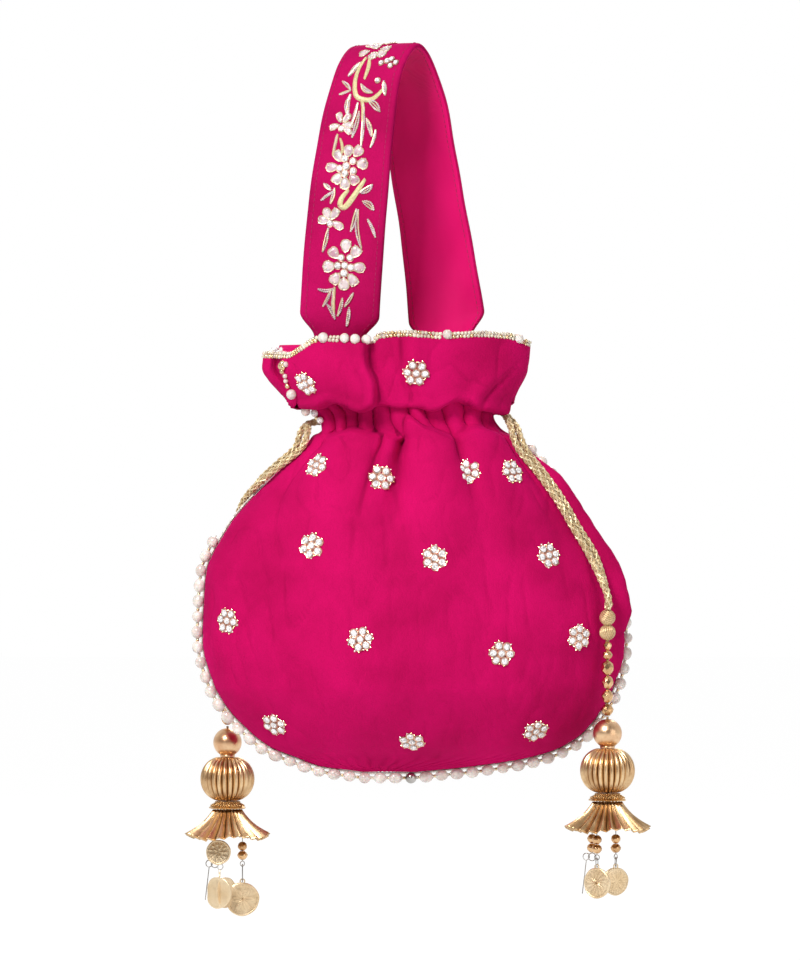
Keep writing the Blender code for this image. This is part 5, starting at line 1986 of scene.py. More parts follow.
@dataclass
class Studio:
    """White floor and backdrop, soft lamps and the camera in front."""

    distance: float = 3.2
    aim: Vector = field(default_factory=lambda: Vector((6.5 * MM, 0.0, -216.0 * MM)))
    frame_height: float = 0.480
    floor_height: float = -0.470
    floor_reach: float = 6.0
    glow: float = 1.07
    daylight: float = 0.34
    # What glossy pieces mirror, from behind the camera to behind the bag: place and colour
    room: tuple[tuple[float, Colour], ...] = ((0.12, (0.16, 0.13, 0.12)), (0.62, (0.80, 0.80, 0.80)))

    def camera(self) -> None:
        """Stand the camera level with the middle of the bag."""
        data = bpy.data.cameras.new("camera")
        data.sensor_width = 36.0
        data.lens = 36.0 * self.distance / self.frame_height
        data.clip_start = 0.05
        data.clip_end = 20.0
        item = linked("camera", data)
        item.location = self.aim + Vector((0.0, -self.distance, 0.0))
        item.rotation_euler = (pi / 2.0, 0.0, 0.0)
        bpy.context.scene.camera = item

    def white(self, name: str) -> Material:
        """White paper that shows as white to the eye and in gloss, and takes shadows softly."""
        nodes = Nodes(name)
        rays = nodes.add("LightPath", {}).outputs
        glow = nodes.add("Emission", {"Color": (*WHITE, 1.0), "Strength": self.glow})
        seen = rays["Is Camera Ray"]
        for ray in ("Is Glossy Ray", "Is Transmission Ray"):
            seen = nodes.add(
                "Math", {0: seen, 1: rays[ray]}, operation="ADD", use_clamp=True,
            ).outputs["Value"]
        share = nodes.add("Math", {0: seen, 1: 0.90}, operation="MULTIPLY").outputs["Value"]
        mix = nodes.add(
            "MixShader", {"Fac": share, 1: nodes.shader.outputs["BSDF"], 2: glow.outputs["Emission"]},
        )
        nodes.tree.links.new(mix.outputs["Shader"], nodes.tree.nodes["Material Output"].inputs["Surface"])
        nodes.set(Base_Color=(0.86, 0.86, 0.86, 1.0), Roughness=0.9, Specular_IOR_Level=0.1)
        return nodes.material

    def stage(self) -> None:
        """Lay the floor."""
        mesh = bpy.data.meshes.new("floor")
        signs = ((-1, -1), (1, -1), (1, 1), (-1, 1))
        corners = [(x * self.floor_reach, y * self.floor_reach, self.floor_height) for x, y in signs]
        mesh.from_pydata(corners, [], [(0, 1, 2, 3)])
        mesh.materials.append(self.white("white_floor"))
        linked("floor", mesh)

    def world(self) -> None:
        """White surroundings to the eye and an even grey light on the cloth."""
        world = bpy.data.worlds.new("surroundings")
        bpy.context.scene.world = world
        world.use_nodes = True
        tree = world.node_tree
        tree.nodes.clear()
        seen = add_node(tree, "Background", {"Color": (*WHITE, 1.0), "Strength": 1.0})
        light = add_node(tree, "Background", {"Color": (*WHITE, 1.0), "Strength": self.daylight})
        place = add_node(tree, "TexCoord")
        split = add_node(tree, "SeparateXYZ", {"Vector": place.outputs["Generated"]})
        around = add_node(tree, "MapRange", {"From Min": -1.0, "From Max": 1.0, "Value": split.outputs["Y"]})
        room = add_node(tree, "ValToRGB", {"Fac": around.outputs["Result"]})
        for stop, (position, colour) in zip(room.color_ramp.elements, self.room):
            stop.position = position
            stop.color = (*colour, 1.0)
        gloss = add_node(tree, "Background", {"Color": room.outputs["Color"]})
        rays = add_node(tree, "LightPath").outputs
        values = {
            "Fac": rays["Is Glossy Ray"], 1: light.outputs["Background"], 2: gloss.outputs["Background"],
        }
        inner = add_node(tree, "MixShader", values)
        values = {"Fac": rays["Is Camera Ray"], 1: inner.outputs["Shader"], 2: seen.outputs["Background"]}
        outer = add_node(tree, "MixShader", values)
        add_node(tree, "OutputWorld", {"Surface": outer.outputs["Shader"]})

    def lamp(self, name: str, place: Sequence[float], size: float, power: float) -> None:
        """Hang a soft lamp that looks at the bag.

        Args:
            name: Name of the lamp.
            place: Where it hangs.
            size: Side of its square.
            power: Power in watts.
        """
        data = bpy.data.lights.new(name, "AREA")
        data.shape = "SQUARE"
        data.size = size
        data.energy = power
        item = linked(name, data)
        item.location = place
        item.rotation_euler = (self.aim - Vector(place)).to_track_quat("-Z", "Y").to_euler()

    def build(self) -> None:
        """Set up the floor, the light and the camera."""
        self.camera()
        self.stage()
        self.world()
        self.lamp("key_lamp", (-0.55, -1.15, 0.75), 0.50, 25.0)
        self.lamp("fill_lamp", (1.05, -1.00, -0.05), 0.90, 3.5)
        self.lamp("back_lamp", (0.20, 1.20, 0.60), 0.80, 9.0)
        bpy.context.scene.view_settings.view_transform = "Standard"


def chance(index: int, salt: int = 0) -> float:
    """Repeatable uneven number from 0 to 1 for a counted thing."""
    value = sin(index * 12.9898 + salt * 78.233) * 43758.5453
    return value - floor(value)


@dataclass
class StoneSetting:
    """Cushion-cut stone in a ring of twisted wire."""

    radius: float = 1.72 * MM
    height: float = 1.35 * MM
    wire: float = 0.30 * MM
    sides: int = 8

    def add(
        self, sketch: Sketch, place: Vector, out: Vector, side: Vector, stone_slot: int, wire_slot: int,
        stretch: float = 1.0,
    ) -> None:
        """Add the stone and its ring.

        Args:
            sketch: Mesh that takes them.
            place: Foot of the stone.
            out: Direction in which it faces.
            side: Direction of its longer side.
            stone_slot: Slot of the stone.
            wire_slot: Slot of the ring.
            stretch: Length over width.
        """
        other = out.cross(side).normalized()
        side = other.cross(out).normalized()
        rings: list[list[Vector]] = []
        levels = ((0.86, 0.0, 0.0), (1.0, 0.42, 0.0), (0.86, 0.74, 0.5), (0.52, 1.0, 0.0))
        for share, level, shift in levels:
            ring = []
            for step in range(self.sides):
                turn = TURN * (step + shift) / self.sides
                ring.append(
                    place + side * (cos(turn) * self.radius * share * stretch)
                    + other * (sin(turn) * self.radius * share) + out * (self.height * level)
                )
            rings.append(ring)
        sketch.rings(rings, slot=stone_slot)
        loop: list[Vector] = []
        gap = self.wire * 0.9
        for turn in turns(14):
            flat = side * (cos(turn) * (self.radius * stretch + gap))
            loop.append(place + flat + other * (sin(turn) * (self.radius + gap)) + out * (self.wire * 1.1))
        self.ring(sketch, loop, out, wire_slot)

    def ring(self, sketch: Sketch, loop: Sequence[Vector], out: Vector, slot: int) -> None:
        """Add a closed wire around a loop of points."""
        rings: list[list[Vector]] = []
        count = len(loop)
        middle = sum(loop, Vector((0.0, 0.0, 0.0))) / count
        for index, point in enumerate(loop):
            along = (loop[(index + 1) % count] - loop[index - 1]).normalized()
            away = along.cross(out).normalized()
            if away.dot(point - middle) < 0.0:
                away = -away
            ring = []
            for turn in turns(5):
                ring.append(point + (away * cos(turn) + out * sin(turn)) * self.wire)
            rings.append(ring)
        sketch.rings(rings, closed=True, slot=slot)


# Middles of the rosettes on the front and on the back: place across and height, in millimetres
FRONT_ROSETTES: tuple[tuple[float, float], ...] = (
    (-40.0, -168.0), (14.5, -163.0), (-34.5, -209.0), (-3.0, -215.0), (40.0, -212.0), (62.0, -212.0),
    (-37.0, -248.5), (23.5, -254.5), (80.0, -253.5), (-79.0, -286.0), (-13.0, -294.5), (56.5, -301.5),
    (95.0, -294.0), (-56.0, -337.5), (12.5, -345.5), (74.0, -340.5),
)
BACK_ROSETTES: tuple[tuple[float, float], ...] = (
    (-30.0, -165.0), (36.0, -164.0), (-34.0, -222.0), (48.0, -224.0), (10.0, -252.0),
    (-58.0, -286.0), (72.0, -284.0), (14.0, -318.0),
)


@dataclass
class Rosettes:
    """Flowers of seven white stones in rose-gold rings, sewn over the velvet."""

    folds: VelvetFolds
    finishes: Finishes
    setting: StoneSetting = field(default_factory=StoneSetting)
    stone_reach: float = 4.15 * MM
    bead_radius: float = 0.42 * MM
    sink: float = 0.15 * MM

    def one(self, name: str, face: Face, x: float, z: float, number: int) -> Item:
        """Build one rosette.

        Args:
            name: Name of the node that it replaces.
            face: Front or back.
            x: Place of its middle across.
            z: Height of its middle.
            number: Count of the rosette, which sets its turn.

        Returns:
            The rosette.
        """
        angle, height = self.folds.locate(face, x, z)
        thickness = 0.5 * MM
        middle, out = self.folds.spot(face, angle, height, thickness)
        step = 0.02
        rise = 1.5 * MM
        across = (
            self.folds.spot(face, angle + step, height)[0] - self.folds.spot(face, angle - step, height)[0]
        ) / (2.0 * step)
        climb = (
            self.folds.spot(face, angle, height + rise)[0] - self.folds.spot(face, angle, height - rise)[0]
        ) / (2.0 * rise)
        side = (across - out * across.dot(out)).normalized()
        upward = side.cross(out) * float(-face.value)
        if upward.z < 0.0:
            upward = -upward
        gram = np.array([[across.dot(across), across.dot(climb)], [across.dot(climb), climb.dot(climb)]])
        sketch = Sketch()

        def spread(reach: float, turn: float, lift: float) -> tuple[Vector, Vector]:
            """Point on the cloth at a distance and turn from the rosette's middle."""
            wanted = side * (cos(turn) * reach) + upward * (sin(turn) * reach)
            steps = np.linalg.solve(gram, np.array([wanted.dot(across), wanted.dot(climb)]))
            place = height + float(steps[1])
            place = min(max(place, self.folds.form.foot + 1.0 * MM), self.folds.form.rim)
            point, normal = self.folds.spot(face, angle + float(steps[0]), place, lift)
            flat = middle + wanted + out * (lift - thickness)
            return flat.lerp(point, 0.6), out.lerp(normal, 0.5).normalized()

        lift = thickness - self.sink
        start = chance(number, 3) * pi
        point, normal = spread(0.0, 0.0, lift)
        self.setting.add(sketch, point, normal, side, 0, 1)
        for petal in range(6):
            turn = start + TURN * petal / 6.0 + 0.10 * (chance(number * 7 + petal, 5) - 0.5)
            reach = self.stone_reach * (0.97 + 0.08 * chance(number * 7 + petal, 6))
            point, normal = spread(reach, turn, lift)
            outward = (point - middle).normalized()
            self.setting.add(sketch, point, normal, outward, 0, 1, 1.06)
        for petal in range(6):
            turn = start + TURN * petal / 6.0
            for bead, (shift, away) in enumerate(((-0.46, 1.28), (-0.17, 1.56), (0.17, 1.54), (0.46, 1.28))):
                if chance(petal * 4 + bead, number) < 0.18:
                    continue
                point, normal = spread(self.stone_reach * away, turn + shift, thickness + 0.1 * MM)
                size = self.bead_radius * (0.8 + 0.4 * chance(bead * 3 + petal, number))
                sketch.ball(point, size, 4, 6, slot=3 if (bead + petal) % 3 == 0 else 2)
        finishes = self.finishes
        materials = [finishes.stone, finishes.rose_wire, finishes.seed_gold, finishes.pearl_white]
        item = sketch.finish(name, materials, 25.0)
        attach(item, "bag")
        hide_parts(name.replace("stones_", "rosette_"))
        return item

    def build(self) -> list[Item]:
        """Sew all the rosettes on."""
        items = []
        for face, places in ((Face.FRONT, FRONT_ROSETTES), (Face.BACK, BACK_ROSETTES)):
            for number, (x, z) in enumerate(places, start=1):
                name = f"stones_{face.word}_{number:02d}"
                items.append(self.one(name, face, x * MM, z * MM, number + 40 * (face is Face.BACK)))
        return items


# Places on the strap are in millimetres: across from its middle line, then along from its front end
Place = tuple[float, float]


@dataclass(frozen=True)
class Flower:
    """Flower of the embroidery: stones in the middle and petals around."""

    node: str
    middle: Place
    stones: tuple[Place, ...]
    petals: tuple[Place, ...]
    petal_length: float
    petal_width: float
    stone_radius: float = 1.25


TOP_FLOWER = Flower(
    "strap_flower_top", (0.0, 160.0),
    ((7.6, 150.4), (10.6, 151.7), (13.3, 149.1), (12.5, 152.9), (15.6, 151.0), (8.6, 140.9)),
    ((-6.2, 164.0), (-2.0, 162.9), (-0.6, 168.2), (3.0, 168.2), (5.5, 160.2), (5.1, 156.3), (-6.5, 156.9),
     (0.4, 154.8)),
    4.4, 3.4, 1.15,
)
UPPER_SMALL = Flower(
    "strap_flower_small_upper", (-7.3, 117.7), ((-6.8, 115.6),),
    ((-9.2, 121.8), (-4.7, 121.3), (-3.0, 117.6), (-3.2, 114.8), (-11.4, 116.4)), 4.4, 2.4, 1.3,
)
UPPER = Flower(
    "strap_flower_upper", (-2.8, 97.1),
    ((-3.2, 100.8), (-2.2, 97.1), (-5.4, 95.6), (-2.4, 93.4), (1.1, 99.8), (1.6, 95.0)),
    ((3.8, 105.3), (-1.7, 105.1), (-7.2, 102.2), (-9.9, 95.9), (-6.4, 90.1), (-1.8, 87.9), (2.9, 90.3),
     (6.6, 98.9)),
    4.8, 3.7, 1.45,
)
LOWER_SMALL = Flower(
    "strap_flower_small_lower", (-7.9, 69.4), ((-7.7, 68.2),),
    ((-11.4, 69.6), (-9.6, 73.2), (-5.6, 73.4), (-3.6, 67.6)), 4.8, 3.0, 1.35,
)
LOWER = Flower(
    "strap_flower_lower", (0.9, 47.9),
    ((1.2, 48.4), (1.2, 44.6), (4.4, 47.6), (-2.3, 48.0), (-0.9, 52.0), (3.6, 52.3)),
    ((-3.4, 41.0), (1.5, 38.6), (6.1, 41.1), (8.7, 47.9), (6.6, 55.9), (1.1, 58.7), (-5.1, 54.5),
     (-7.2, 47.2)),
    5.0, 3.9, 1.45,
)

# Leaves of two rows of beads: start, end, width and bend
UPPER_LEAVES: tuple[tuple[Place, Place, float, float], ...] = (
    ((-9.4, 143.6), (-5.0, 150.6), 3.0, 0.0), ((-12.2, 140.6), (-6.4, 136.2), 2.0, 0.3),
    ((-12.0, 133.6), (-6.4, 135.6), 1.6, 0.0), ((-5.6, 133.4), (-4.4, 122.4), 3.0, -1.2),
    ((-0.6, 138.8), (6.6, 134.6), 2.6, -1.0), ((-0.4, 129.0), (-1.8, 117.8), 1.8, 0.3),
    ((1.2, 124.6), (-0.4, 111.6), 2.2, 0.6), ((2.8, 128.4), (4.6, 107.6), 1.9, 0.8),
    ((5.8, 121.2), (9.6, 112.8), 2.5, 0.4), ((5.4, 130.8), (12.2, 125.4), 3.6, 0.5),
    ((12.2, 140.4), (14.0, 133.8), 2.6, 0.0),
)
MIDDLE_LEAVES: tuple[tuple[Place, Place, float, float], ...] = (
    ((-8.9, 111.6), (-9.7, 103.6), 1.5, 0.0), ((11.4, 115.8), (9.6, 107.2), 1.6, 0.4),
    ((-6.9, 85.6), (-8.2, 78.2), 2.0, 0.3), ((-8.2, 83.6), (-13.0, 79.4), 1.6, 0.0),
    ((-12.4, 87.4), (-8.8, 84.8), 2.4, 0.0), ((6.2, 84.6), (11.8, 88.8), 3.2, -0.6),
    ((8.0, 80.4), (13.6, 76.8), 3.4, 0.6), ((5.0, 76.2), (3.0, 65.4), 2.2, 0.4),
    ((6.0, 76.0), (8.8, 57.6), 2.2, -1.3), ((11.2, 71.6), (15.4, 63.6), 1.8, 0.3),
    ((-8.4, 65.6), (-10.2, 54.4), 2.1, 0.2),
)
LOWER_LEAVES: tuple[tuple[Place, Place, float, float], ...] = (
    ((-11.0, 35.6), (-3.2, 36.6), 1.9, -0.9), ((-5.0, 35.2), (-8.2, 27.6), 1.8, 0.3),
    ((-3.6, 35.6), (-3.8, 26.0), 2.0, 0.4), ((-6.2, 28.4), (-2.0, 21.6), 2.0, 0.4),
    ((1.2, 32.0), (-0.6, 23.4), 2.0, 0.3), ((6.4, 35.0), (2.6, 28.2), 1.9, 0.2),
    ((4.8, 27.6), (4.2, 18.6), 2.0, 0.2),
)
# Lines of satin stitch: width, then places
UPPER_STITCH: tuple[tuple[float, tuple[Place, ...]], ...] = (
    (2.3, ((-3.0, 153.6), (-4.6, 146.6), (-4.6, 139.6), (-2.4, 133.2), (2.2, 131.0), (7.6, 131.6),
           (13.0, 137.0))),
    (1.6, ((1.0, 131.6), (3.0, 126.6), (3.8, 119.6))),
    (2.0, ((-0.4, 152.6), (1.0, 147.6), (0.6, 141.6))),
    (1.3, ((-8.6, 112.6), (-9.4, 106.6), (-9.8, 102.0))),
)
MIDDLE_STITCH: tuple[tuple[float, tuple[Place, ...]], ...] = (
    (2.6, ((0.2, 85.4), (-2.8, 81.0), (-3.2, 77.4), (-0.8, 77.0), (2.6, 81.6), (8.0, 91.4))),
    (1.2, ((-6.8, 110.6), (-5.4, 107.0), (-5.0, 103.4))),
)
LOWER_STITCH: tuple[tuple[float, tuple[Place, ...]], ...] = (
    (1.2, ((-3.0, 37.2), (-3.2, 31.0), (-2.6, 24.0))),
)


@dataclass
class Embroidery:
    """Gold-thread and bead embroidery on the outer face of the strap."""

    form: StrapForm
    finishes: Finishes
    petal_draw: float = 0.93
    petal_growth: float = 1.24
    ground: float = 2.72 * MM
    wire: float = 0.27 * MM
    bead: float = 0.50 * MM

    def spot(self, place: Place, lift: float = 0.0) -> tuple[Vector, Vector, Vector]:
        """Point on the strap with its direction out and its direction across."""
        share = place[1] * MM / self.form.length
        across = place[0] * MM / self.form.half_width(share)
        point = self.form.spot(share, max(min(across, 0.93), -0.93), self.ground + lift)
        _, side, outward = self.form.frame_at(share)
        return point, outward, side

    def petal(
        self, sketch: Sketch, place: Place, middle: Place, length: float, width: float, salt: int,
    ) -> None:
        """Add a petal: an outline of gold wire, a sheer dome and a few beads.

        Args:
            sketch: Mesh that takes it.
            place: Middle of the petal.
            middle: Middle of its flower.
            length: Length in millimetres.
            width: Width in millimetres.
            salt: Number that sets its unevenness.
        """
        away = Vector((place[0] - middle[0], place[1] - middle[1]))
        away = away.normalized() if away.length > 0.0 else Vector((0.0, 1.0))
        cross = Vector((-away.y, away.x))
        uneven = 0.9 + 0.2 * chance(salt, 1)
        outline = []
        steps = 16
        for turn in turns(steps):
            reach = cos(turn) * length * 0.5 * uneven
            half = sin(turn) * width * 0.5 * (1.0 + 0.30 * cos(turn)) / uneven
            notch = 0.10 * length * exp(-((sin(turn / 2.0) / 0.16) ** 2)) * (salt % 2)
            outline.append((reach - notch, half))

        def at(reach: float, half: float, lift: float) -> Vector:
            """Point of the petal at a place along and across it."""
            shift = away * reach + cross * half
            return self.spot((place[0] + shift.x, place[1] + shift.y), lift)[0]

        rings = []
        for share, lift in ((0.98, 0.05), (0.86, 0.42), (0.60, 0.66), (0.25, 0.78)):
            rings.append([at(reach * share, half * share, lift * MM) for reach, half in outline])
        sketch.rings(rings, slot=1 if salt % 3 else 5)
        loop = [at(reach, half, 0.25 * MM) for reach, half in outline]
        StoneSetting(wire=self.wire).ring(sketch, loop, self.spot(place)[1], 0)
        for number, (reach, half) in enumerate(((0.22, 0.18), (-0.12, -0.2), (0.30, -0.22))):
            if chance(salt * 3 + number, 2) < 0.75:
                point = at(reach * length, half * width, 0.75 * MM)
                sketch.ball(
                    point, self.bead * (0.8 + 0.4 * chance(salt, number)), 5, 7, slot=3 if number else 4,
                )
        for step in range(0, steps, 2):
            if chance(salt * 5 + step, 4) < 0.55:
                reach, half = outline[step]
                sketch.ball(at(reach * 1.06, half * 1.06, 0.30 * MM), 0.36 * MM, 4, 6, slot=4)

    def leaf(self, sketch: Sketch, start: Place, end: Place, width: float, bend: float, salt: int) -> None:
        """Add a narrow leaf of two rows of beads with a wire between.

        Args:
            sketch: Mesh that takes it.
            start: Its foot.
            end: Its tip.
            width: Largest width in millimetres.
            bend: Bend of its middle sideways in millimetres.
            salt: Number that sets its unevenness.
        """
        along = Vector((end[0] - start[0], end[1] - start[1]))
        length = along.length
        along = along / length
        cross = Vector((-along.y, along.x))
        for row in (-1, 0, 1):
            if row == 0 and width < 2.4:
                continue
            line = []
            steps = 10
            for step in range(steps + 1):
                share = step / steps
                arch = sin(pi * share)
                half = row * 0.5 * (width - 0.9) * arch ** 0.7 + bend * arch
                place = Vector(start) + along * (length * share) + cross * half
                line.append(self.spot((place.x, place.y), 0.30 * MM)[0])
            if (salt + row) % 3 == 0:
                sketch.tube(line, 0.42 * MM, 6, slot=0)
                continue
            beads = even_route(line, self.bead * 1.9)
            for number, point in enumerate(beads):
                size = self.bead * (0.88 + 0.28 * chance(number, salt + row))
                slot = 1 if chance(number * 2 + salt, row + 3) < 0.62 else 4
                sketch.ball(point, size, 5, 7, slot=slot)

    def stitch(self, sketch: Sketch, width: float, route: Sequence[Place]) -> None:
        """Add a raised line of satin stitch, thread beside thread.

        Args:
            sketch: Mesh that takes it.
            width: Largest width in millimetres.
            route: Places that its middle passes.
        """
        line = smooth_route([Vector((place[0], place[1], 0.0)) for place in route], 12)
        line = even_route(line, 0.42)
        count = len(line) - 1
        for index, point in enumerate(line):
            before = line[max(index - 1, 0)]
            after = line[min(index + 1, count)]
            along = (after - before).normalized()
            cross = Vector((-along.y, along.x, 0.0)) + along * 0.45
            half = 0.5 * width * (0.35 + 0.65 * sin(pi * (index + 0.5) / (count + 1)) ** 0.5)
            thread = []
            for place, lift in ((-1.0, 0.05), (-0.6, 0.42), (0.0, 0.60), (0.6, 0.42), (1.0, 0.05)):
                spot = point + cross * (half * place)
                thread.append(self.spot((spot.x, spot.y), lift * MM)[0])
            sketch.tube(thread, 0.25 * MM, 5, slot=2)

    def finish(self, sketch: Sketch, name: str) -> Item:
        """Make a piece of the embroidery and place it on the bag."""
        finishes = self.finishes
        materials = [
            finishes.zari, finishes.petal, finishes.silk_gold, finishes.pearl_white, finishes.seed_bead,
            finishes.petal_rose, finishes.stone, finishes.rose_wire,
        ]
        item = sketch.finish(name, materials, 32.0)
        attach(item, "bag")
        return item

    def flower(self, flower: Flower, shift: Callable[[Place], Place], name: str, node: str) -> Item:
        """Build a flower.

        Args:
            flower: Its plan.
            shift: Moves a place of the front leg to where this flower is.
            name: Name of the piece.
            node: Node that it replaces, or nothing.

        Returns:
            The flower.
        """
        sketch = Sketch()
        middle = Vector(flower.middle)
        for number, place in enumerate(flower.petals):
            inner = middle + (Vector(place) - middle) * self.petal_draw
            length = flower.petal_length * self.petal_growth
            width = flower.petal_width * self.petal_growth
            self.petal(sketch, shift((inner.x, inner.y)), shift(flower.middle), length, width, number + 3)
        for number, place in enumerate(flower.stones):
            point, out, side = self.spot(shift(place))
            size = flower.stone_radius * (1.08 + 0.16 * chance(number, 8)) * MM
            StoneSetting(radius=size, wire=0.24 * MM).add(sketch, point, out, side, 6, 7)
        item = self.finish(sketch, name)
        if node:
            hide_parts(node)
        return item

    def spray(
        self, name: str, leaves: Sequence[tuple[Place, Place, float, float]],
        stitches: Sequence[tuple[float, tuple[Place, ...]]], shift: Callable[[Place], Place], sign: float,
    ) -> Item:
        """Build leaves and stems.

        Args:
            name: Name of the piece.
            leaves: Plans of the leaves.
            stitches: Plans of the lines of satin stitch.
            shift: Moves a place of the front leg to where the spray is.
            sign: Sense of the leaves' bend.

        Returns:
            The spray.
        """
        sketch = Sketch()
        for number, (start, end, width, bend) in enumerate(leaves):
            self.leaf(sketch, shift(start), shift(end), width, bend * sign, number)
        for width, route in stitches:
            self.stitch(sketch, width, [shift(place) for place in route])
        return self.finish(sketch, name)

    def build(self) -> None:
        """Embroider the front leg, and the back leg with the same motifs turned round."""
        whole = self.form.length / MM

        def stay(place: Place) -> Place:
            """Leave a place of the front leg where it is."""
            return place

        def rear(place: Place) -> Place:
            """Turn a place round to the back leg."""
            return (-place[0], whole + 13.0 - place[1])

        for plan in (TOP_FLOWER, UPPER_SMALL, UPPER, LOWER_SMALL, LOWER):
            self.flower(plan, stay, plan.node.replace("strap_flower", "flower"), plan.node)
        self.flower(UPPER, rear, "flower_rear", "strap_flower_back")
        self.flower(UPPER_SMALL, rear, "flower_rear_small_upper", "")
        self.flower(LOWER_SMALL, rear, "flower_rear_small_lower", "")
        self.flower(LOWER, rear, "flower_rear_lower", "")
        sprays = (("upper", UPPER_LEAVES, UPPER_STITCH), ("middle", MIDDLE_LEAVES, MIDDLE_STITCH))
        for label, leaves, stitches in sprays:
            self.spray(f"spray_{label}", leaves, stitches, stay, 1.0)
            self.spray(f"spray_rear_{label}", leaves, stitches, rear, 1.0)
        self.spray("spray_lower", LOWER_LEAVES, LOWER_STITCH, stay, 1.0)


@dataclass
class SeamTrim:
    """Pearls strung along the side and bottom seams, with seed beads between and a thread edging."""

    form: BagForm
    folds: VelvetFolds
    finishes: Finishes
    start: float = -203.0 * MM
    left_start: float = -243.0 * MM
    pitch: float = 7.7 * MM
    radius: float = 3.0 * MM
    offset: float = 3.4 * MM
    seed: float = 0.85 * MM
    thread: float = 0.28 * MM
    edging: float = 0.58 * MM
    edging_offset: float = 1.15 * MM
    grey_place: float = 12.5 * MM

    def seam(self) -> list[Vector]:
        """Line of the seam, from below the left slit to below the right one."""
        left: list[Vector] = []
        right: list[Vector] = []
        steps = 90
        for step in range(steps + 1):
            height = self.start + (self.form.foot - self.start) * (step / steps) ** 0.8
            middle, width, _ = self.form.sizes_at(height)
            left.append(Vector((middle - width, 0.0, height)))
            right.append(Vector((middle + width, 0.0, height)))
        return even_route(left + list(reversed(right)), 1.0 * MM)

    def pushed(self, distance: float) -> list[Vector]:
        """Line beside the seam, at a distance out from it."""
        line = self.seam()
        result = []
        last = len(line) - 1
        for index, point in enumerate(line):
            before = line[max(index - 4, 0)]
            after = line[min(index + 4, last)]
            along = (after - before).normalized()
            result.append(point + Vector((along.z, 0.0, -along.x)) * distance)
        return result

    def build(self) -> list[Item]:
        """String the pearls and sew the edging."""
        strung = Sketch()
        places = even_route(self.pushed(self.offset), self.pitch)
        low = Vector((self.grey_place, 0.0, self.form.foot))
        grey_index = min(range(len(places)), key=lambda index: (places[index] - low).length)
        for index, place in enumerate(places):
            if place.x < 0.0 and place.z > self.left_start:
                continue
            before = places[max(index - 1, 0)]
            after = places[min(index + 1, len(places) - 1)]
            along = (after - before).normalized()
            size = self.radius * (0.93 + 0.09 * chance(index, 1))
            grey = index == grey_index
            shift = Vector((0.0, 0.5 * MM * (chance(index, 2) - 0.5), 0.0))
            strung.ball(place + shift, size, 9, 14, slot=4 if grey else index % 2, axis=along,
                        stretch=1.0 + 0.25 * chance(index, 4))
            if index < len(places) - 1:
                gap = place.lerp(after, 0.5)
                for side, slot in ((-0.55, 2), (0.55, 3 if index % 5 else 2)):
                    strung.ball(gap + along * (side * 0.9 * MM), self.seed, 5, 8, slot=slot)
        thread = [point for point in self.pushed(self.offset) if point.x > 0.0 or point.z < self.left_start]
        strung.tube(thread[::3], self.thread, 5, slot=2)
        materials = [*self.finishes.beads, self.finishes.wire_steel]
        item = strung.finish("seam_pearl_string", materials, 60.0)
        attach(item, "bag")
        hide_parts("seam_pearls")
        edging = Sketch()
        edge = self.pushed(self.edging_offset)
        for strand in (0, 1):
            line = []
            for index, point in enumerate(edge):
                turn = index * 0.85 + pi * strand
                line.append(point + Vector((0.0, sin(turn), 0.0)) * 0.55 * MM)
            edging.tube(line, self.edging, 5)
        item_edging = edging.finish("seam_edging", [self.finishes.edge_thread])
        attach(item_edging, "bag")
        return [item, item_edging]


# Beads sewn down the left edge of the front's collar: height, place across from it and radius, and kind
COLLAR_BEADS: tuple[tuple[float, float, float, int], ...] = (
    (-153.0, -1.2, 1.6, 1), (-155.2, 0.9, 1.4, 0), (-157.0, -1.4, 1.7, 1), (-159.5, 0.3, 1.5, 1),
    (-161.8, -0.8, 1.3, 1), (-164.0, 0.2, 1.2, 0), (-166.2, 0.0, 1.2, 0), (-168.6, 0.2, 1.3, 1),
    (-172.4, 0.2, 2.6, 0), (-177.6, 0.6, 2.4, 0), (-181.6, 2.6, 2.0, 2), (-184.6, 0.4, 1.5, 1),
    (-186.0, 4.0, 1.8, 2),
)


